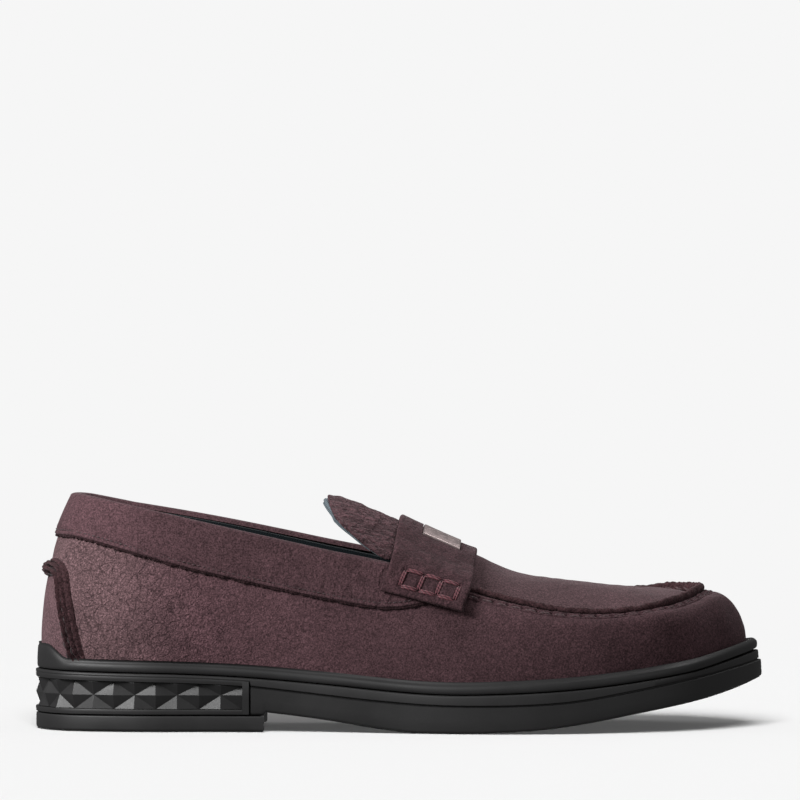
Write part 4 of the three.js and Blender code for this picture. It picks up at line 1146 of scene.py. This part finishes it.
def saddle_base(v, g):
    """The saddle over the foot: v from its rear to its front edge, g from the lateral to the medial end."""
    across = np.minimum((np.abs(g) / STRAP_END) ** 2, 1)
    x = mix(mix(*STRAP_REAR, across), mix(*STRAP_FRONT, across), v)
    beyond = (np.abs(g) - 1) * mix(0.8, 1.0, v)
    t = 1 - np.maximum(beyond, 0) * WALL_PER_UNIT
    low = np.where(g < 0, LATERAL[0], MEDIAL[0])
    high = np.where(g < 0, LATERAL[1], MEDIAL[1])
    s = solve(lambda place: wall_face(place, t)[..., 0], x, low, high, rounds=22)
    point = wall_face(s, t)
    share = np.minimum(np.abs(g), 1)
    arch = point[..., 2] + (crown_z(x) - point[..., 2]) * (1 - share ** 2.1)
    over = beyond <= 0
    point[..., 1] *= np.where(over, share, 1)
    point[..., 2] = np.where(over, arch, point[..., 2])
    return point


def saddle_tables():
    """The saddle's eased surface and its normals on a fine grid."""
    base = saddle_base(*np.meshgrid(SADDLE_V, SADDLE_G, indexing="ij"))
    eased = sum(np.roll(base, k, axis=1) for k in (-16, -8, 0, 8, 16)) / 5
    return eased, unit(np.cross(*np.gradient(eased, axis=(0, 1))))


SADDLE_POINTS, SADDLE_NORMALS = saddle_tables()


def saddle(v, g, distance):
    v, g = np.broadcast_arrays(np.asarray(v, float), np.asarray(g, float))
    cells, weights = [], []
    for value, ticks in ((v, SADDLE_V), (g, SADDLE_G)):
        place = np.clip((value - ticks[0]) / (ticks[1] - ticks[0]), 0, len(ticks) - 1.001)
        cells.append(place.astype(int))
        weights.append((place - cells[-1])[..., None])
    (i, j), (p, q) = cells, weights

    def read(grid):
        return mix(mix(grid[i, j], grid[i + 1, j], p), mix(grid[i, j + 1], grid[i + 1, j + 1], p), q)

    rise = 1 + 2 * smooth(0.65, 1, np.abs(g)) + distance
    return read(SADDLE_POINTS) + unit(read(SADDLE_NORMALS)) * rise[..., None]


STRAP_WIDTH = 33.0       # millimetres from the rear to the front edge
STRAP_HALF = 59.0        # millimetres from the crown to an end
STRAP_SHEET = STRAP_LEATHER + 0.6
CROWN_MM_PER_G = 36.0
BOX_V = (0.21, 0.43, 0.65, 0.87)
BOX_G = (1.12, 1.41)
PLATE_REAR, PLATE_FRONT, PLATE_HALF = 0.3, 0.78, 0.44
PLATE_SHEET = 1.2
SLOT_MARGIN = 0.35


def make_strap():
    """Strap leather with rounded edges, a window for the plate and dents along its stitches."""
    rear, front_edge = PLATE_REAR - SLOT_MARGIN / STRAP_WIDTH, PLATE_FRONT + SLOT_MARGIN / STRAP_WIDTH
    half = PLATE_HALF + SLOT_MARGIN / CROWN_MM_PER_G
    v = edged_places(STRAP_WIDTH, 52, STRAP_SHEET) / STRAP_WIDTH
    v = np.unique(np.concatenate([v, [rear - 0.02, rear, front_edge, front_edge + 0.02]]))
    g = edged_places(2 * STRAP_HALF, 190, STRAP_SHEET) / STRAP_HALF - 1
    g = np.unique(np.concatenate([g, [-half / STRAP_END, half / STRAP_END]])) * STRAP_END
    v, g = np.meshgrid(v, g, indexing="ij")
    across = edge_rounding(v * STRAP_WIDTH, STRAP_WIDTH, STRAP_SHEET)
    along = edge_rounding((g / STRAP_END + 1) * STRAP_HALF, 2 * STRAP_HALF, STRAP_SHEET)
    half_thick = np.minimum(across, along)
    middle = STRAP_LEATHER / 2
    flat = saddle(v, g, 0)
    bow = 0.25 * ripple(flat, 22, 61) + 0.08 * ripple(flat, 6, 62)
    dent = 0 * v
    for out in (-g, g):
        for place, other, lines, ends, fade in ((out, v, BOX_G, BOX_V, 0.06), (v, out, BOX_V, BOX_G, 0.03)):
            inside = smooth(ends[0] - fade, ends[0], other) * (1 - smooth(ends[-1], ends[-1] + fade, other))
            dent += sum(np.exp(-((place - line) / 0.03) ** 2) for line in lines) * inside
    front = saddle(v, g, middle + half_thick + bow * smooth(0, 0.8, half_thick) - 0.75 * np.minimum(dent, 1))
    back = saddle(v, g, middle - half_thick)
    window = (v >= rear - 1e-9) & (v <= front_edge + 1e-9) & (np.abs(g) <= half + 1e-9)
    under = np.meshgrid(np.linspace(0.2, 0.88, 12), np.linspace(-0.55, 0.55, 24), indexing="ij")
    backing = window_sheet(saddle(*under, 0.65), saddle(*under, 0.1))
    return joined([backing, window_sheet(front, back, window)])


def window_sheet(front, back, hole=None):
    """A closed sheet between two grids, with a window where the grid points are marked."""
    rows, columns = front.shape[:2]
    hole = np.zeros((rows, columns), bool) if hole is None else hole
    count = rows * columns
    faces, rim = [], {}
    for i in range(rows - 1):
        for j in range(columns - 1):
            if hole[i, j] and hole[i + 1, j] and hole[i, j + 1] and hole[i + 1, j + 1]:
                continue
            a, b = i * columns + j, (i + 1) * columns + j
            c, d = b + 1, a + 1
            faces += [[a, b, c, d], [count + a, count + d, count + c, count + b]]
            for p, q in ((a, b), (b, c), (c, d), (d, a)):
                rim[(p, q)] = True
    for p, q in list(rim):
        if (q, p) not in rim:
            faces.append([p, count + p, count + q, q])
    return np.concatenate([front.reshape(-1, 3), back.reshape(-1, 3)]), faces


def make_plate():
    long = (PLATE_FRONT - PLATE_REAR) * STRAP_WIDTH
    wide = 2 * PLATE_HALF * CROWN_MM_PER_G
    along, across = np.meshgrid(edged_places(long, 24, PLATE_SHEET), edged_places(wide, 40, PLATE_SHEET),
                                indexing="ij")
    v, g = PLATE_REAR + along / STRAP_WIDTH, across / CROWN_MM_PER_G - PLATE_HALF
    half = np.minimum(edge_rounding(along, long, PLATE_SHEET), edge_rounding(across, wide, PLATE_SHEET))
    return window_sheet(saddle(v, g, STRAP_LEATHER + 0.95 + half - PLATE_SHEET / 2), saddle(v, g, 0.7))


def make_box_stitch(side):
    """Two rails of three long stitches, joined by four rungs, in doubled thread."""
    base = STRAP_LEATHER + 0.1
    rails = [((v0 + 0.012, g), (v1 - 0.012, g), (0, 0.4 / 26))
             for g in BOX_G for v0, v1 in zip(BOX_V, BOX_V[1:])]
    rungs = [((v, BOX_G[0] + 0.014), (v, BOX_G[1] - 0.014), (0.4 / STRAP_WIDTH, 0)) for v in BOX_V]
    starts, ends, normals = [], [], []
    for (v0, g0), (v1, g1), (dv, dg) in rails + rungs:
        middle = (v0 + v1) / 2, side * (g0 + g1) / 2
        for ply in (-1, 1):
            starts.append(saddle(v0 + dv * ply, side * (g0 + dg * ply), base))
            ends.append(saddle(v1 + dv * ply, side * (g1 + dg * ply), base))
            normals.append(unit(saddle(*middle, base + 1) - saddle(*middle, base)))
    return stitches(starts, ends, normals, 0.47, 0.6)


piece("strap", make_strap(), STRAP_NUBUCK, replaces=["saddle_strap"], crease=50)
piece("plate", make_plate(), PLATE_METAL, replaces=["penny_plate"], crease=50)
piece("box_stitch_lateral", make_box_stitch(-1), BOX_THREAD, replaces=["strap_stitch_lateral"])
piece("box_stitch_medial", make_box_stitch(1), BOX_THREAD, replaces=["strap_stitch_medial"])

# ----------------------------------------------------------------------------- tongue

tongue_half_width = profile([(0, 19.6), (0.15, 22.6), (0.35, 25), (0.6, 27.2), (1, 29.2)])


def tongue_face(v, u):
    """u runs from the free rear edge to the root under the strap, and v across."""
    v, u = np.broadcast_arrays(np.asarray(v, float), np.asarray(u, float))
    x = mix(120.6 + 3.2 * np.abs(v) ** 3, 155.5 - 5 * v * v, u)
    y = v * tongue_half_width(1.27 * u) * (1 - 0.06 * smooth(0.7, 1, u))
    return np.stack([x, y, crown_z(x) - TONGUE_DROP * y * y], -1)


def tongue_normal(v, u):
    along = tongue_face(v, u + STEP) - tongue_face(v, u - STEP)
    across = tongue_face(v + STEP, u) - tongue_face(v - STEP, u)
    return unit(np.cross(along, across))


def tongue_layer(top, thickness, margin, creases=0.0, reach=0.0, side_margin=0.0):
    """A sheet of the tongue with rounded edges, its top face some way under the tongue's."""
    long, wide = TONGUE_LONG - 2 * margin, TONGUE_WIDE - 2 * side_margin
    across, along = np.meshgrid(edged_places(wide, 70, thickness), edged_places(long, 40, thickness),
                                indexing="ij")
    half = np.minimum(edge_rounding(along, long, thickness), edge_rounding(across, wide, thickness))
    u, v = (along + margin) / TONGUE_LONG, (across + side_margin) / TONGUE_WIDE * 2 - 1
    normal = tongue_normal(v, u)
    point = tongue_face(v, u)
    folds = creases * (ripple(point * [0.45, 1, 1], 3.4, 71) + 0.6 * ripple(point * [0.5, 1, 1], 1.7, 72))
    border = np.minimum(u * TONGUE_LONG, (1 - np.abs(v)) * TONGUE_WIDE / 2)
    seam = -0.9 * creases * np.exp(-((border - 2.2) / 0.45) ** 2)
    lift = half - thickness / 2 - top + (folds * smooth(2.2, 4, border) + seam) * (half > thickness / 4)
    point[..., 0] -= reach * (1 - smooth(0, 0.25, u)) * np.clip(1 - (v / 0.8) ** 2, 0, 1)
    back = point + normal * (-half - thickness / 2 - top)[..., None]
    return window_sheet(point + normal * lift[..., None], back)


def make_tongue_stitches():
    """A row of small stitches just inside the tongue's edge."""
    side, end, root = 0.91, 0.075, 0.8
    v = np.concatenate([np.full(200, -side), np.linspace(-side, side, 400), np.full(200, side)])
    u = np.concatenate([np.linspace(root, end, 200), np.full(400, end), np.linspace(end, root, 200)])
    points, normal = tongue_face(v, u), tongue_normal(v, u)
    i, j = stitch_ends(run_along(points), 1, 3, 2.4, 0, 1.6)
    return stitches(points[i] - normal[i] * 0.2, points[j] - normal[j] * 0.2, normal[i], 0.24, 0.16)


def tongue_piece(name, shape, material, replaces=()):
    """A piece of the tongue, not attached to the shoe, with its placement baked into its points."""
    made = piece(name, shape, material, replaces=replaces, crease=60, ride=False)
    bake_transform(made)
    return made


tongue_piece("tongue_top", tongue_layer(0, 1.3, 0, creases=0.16), TONGUE_LEATHER,
             ["tongue_leather"])
tongue_piece("tongue_edge_stitches", make_tongue_stitches(), SEAM_THREAD)
padding = tongue_piece("tongue_padding", tongue_layer(1.35, 1.7, 0.7, reach=2.1, side_margin=1.9),
                       PALE_LINING, ["tongue_foam"])
tongue_piece("tongue_back", tongue_layer(3.05, 0.8, 0.6, reach=2.0, side_margin=1.5),
             PALE_LINING, ["tongue_lining"])

# ------------------------------------------------------- footbed and hidden CAD pieces


def make_sock():
    """A rounded slab that follows the sole's curve, with its edge turned up against the lining."""
    low, high, crown = 5.45, 6.6, 0.2
    columns = np.linspace(0, 1, 320, endpoint=False)
    rim = sole_edge(columns, ledge(sole_curve(columns)[:, 0]) + 5.2, above(sole_top_z, SOLE_TO_FOOT))
    middle = np.stack([np.clip(rim[:, 0], 32, 262), 0 * rim[:, 0], 0 * rim[:, 0]], -1)
    rows = [(0, mix(low, high, 0.5)), (0.004, high - 0.25), (0.012, high)]
    rows += [(q, high + crown * (1 - q) ** 3 - crown) for q in np.linspace(0.05, 1, 14)]
    rows += [(1, low - crown), (0.012, low), (0.004, low + 0.25)]
    rings = []
    for share, rise in rows:
        point = mix(rim, middle, share)
        rings.append(with_z(point, sole_top_z(point[:, 0]) + SOLE_TO_FOOT + rise))
    return sweep(np.stack(rings, 1), ring=True)


piece("sock", make_sock(), TEAL_LINING, replaces=["sock_liner"])

CAD_FINISHES = [
    (STEEL, ["heel_nail_1", "heel_nail_2", "heel_nail_3", "heel_nail_4", "heel_nail_5", "shank",
             "shank_rivet_1", "shank_rivet_2", "plate_rivet_1", "plate_rivet_2"]),
    (FOAM, ["heel_filler", "footbed_foam", "collar_foam"]),
    (CORK, ["forepart_filler"]),
    (BOARD, ["insole_board", "heel_counter", "toe_puff"]),
    (TEAL_LINING, ["apron_lining"]),
]
for material, nodes in CAD_FINISHES:
    for node in nodes:
        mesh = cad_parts[node].data
        mesh.materials.clear()
        mesh.materials.append(material)

# -------------------------------------------------------------- stage, light and camera

BACKDROP = 0.9216        # linear brightness of the studio's sweep
STAGE_RADIUS = 6
WHITE = (1, 1, 1, 1)


def placed(name, data, place=(0, 0, 0)):
    made = bpy.data.objects.new(name, data)
    made.location = place
    SCENE.collection.objects.link(made)
    return made


def show(obj, **seen):
    """Which kinds of ray see an object."""
    for kind, value in seen.items():
        setattr(obj, "visible_" + kind, value)


def make_stage():
    """A pale floor that fades into a glowing backdrop."""
    n = Nodes("studio_floor")
    n.set(base_color=(0.8, 0.8, 0.8, 1), roughness=1.0, specular_ior_level=0.0)
    glow = n.add("ShaderNodeEmission", {"Color": WHITE, "Strength": BACKDROP})
    distance = n.add("ShaderNodeVectorMath", {0: n.place}, operation="LENGTH").outputs["Value"]
    far = n.between(distance, 0.42, 0.7)
    blend = n.add("ShaderNodeMixShader", {0: far, 1: n.shader.outputs[0], 2: glow.outputs[0]})
    n.put(n.tree.nodes["Material Output"].inputs["Surface"], blend.outputs[0])
    turn = np.linspace(0, 2 * math.pi, 65)[:-1]
    rim = [(STAGE_RADIUS * math.cos(a), STAGE_RADIUS * math.sin(a), -0.0002) for a in turn]
    mesh = bpy.data.meshes.new("floor")
    mesh.from_pydata(rim, [], [list(range(len(rim)))])
    mesh.materials.append(n.material)
    floor = placed("studio_floor", mesh)
    show(floor, diffuse=False, glossy=False)
    sky = Nodes("studio_dome")
    glow = sky.add("ShaderNodeEmission", {"Color": WHITE, "Strength": BACKDROP})
    sky.put(sky.tree.nodes["Material Output"].inputs["Surface"], glow.outputs[0])
    bpy.ops.mesh.primitive_uv_sphere_add(segments=48, ring_count=24, radius=STAGE_RADIUS)
    dome = bpy.context.object
    dome.name = "studio_dome"
    dome.data.materials.append(sky.material)
    show(dome, diffuse=False, glossy=False, shadow=False, transmission=False)
    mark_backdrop(floor, dome)
    return floor


def make_light(name, place, target, energy, size, only):
    """A soft disc of a size in metres, or a sun of an angle in degrees if its size is above 1."""
    data = bpy.data.lights.new(name, "SUN" if size > 1 else "AREA")
    data.energy = energy
    if size > 1:
        data.angle = math.radians(size)
    else:
        data.shape, data.size = "DISK", size
    lamp = placed(name, data, place)
    lamp.rotation_euler = (Vector(target) - Vector(place)).to_track_quat("-Z", "Y").to_euler()
    group = bpy.data.collections.new(name + "_receivers")
    for obj in only:
        group.objects.link(obj)
    lamp.light_linking.receiver_collection = group
    return lamp


floor = make_stage()
shoe = [o for o in SCENE.objects if o.type == "MESH" and not o.get("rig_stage")]
make_light("key", (-0.46, -0.34, 0.36), (-0.12, 0, 0.05), 4.4, 0.28, shoe)
make_light("overhead", (0.16, 0.1, 0.9), (0.08, 0, 0.05), 1.1, 0.5, shoe)
make_light("toe_glow", (0.15, 0.08, 0.42), (0.1, 0, 0.05), 0.42, 0.16, shoe)
make_light("toe_front", (0.4, -0.5, 0.16), (0.13, -0.02, 0.03), 0.3, 0.3, shoe)
far_side = make_light("far_side", (0.1, 0.8, 0.35), (0, 0, 0.04), 4.0, 0.5, shoe)
show(far_side, glossy=False)
make_light("floor_sun", (-0.07, -0.8, 0.62), (0, 0, 0), 4.62, 30, [floor])
fill = make_light("floor_fill", (0, 0, 1), (0, 0, 0), 0.28, 10, [floor])
fill.data.use_shadow = False

world = bpy.data.worlds.new("studio")
world.use_nodes = True
world.node_tree.nodes["Background"].inputs["Color"].default_value = WHITE
world.node_tree.nodes["Background"].inputs["Strength"].default_value = 0.17
SCENE.world = world
SCENE.view_settings.view_transform = "Standard"
SCENE.view_settings.look = "None"

camera_data = bpy.data.cameras.new("camera")
camera_data.sensor_width = 36
camera_data.lens = 326.7
camera_data.clip_end = 20
camera = placed("camera", camera_data, (0.0004, -2.9987, 0.1727))
camera.rotation_euler = (math.radians(89.28), 0, 0)
SCENE.camera = camera
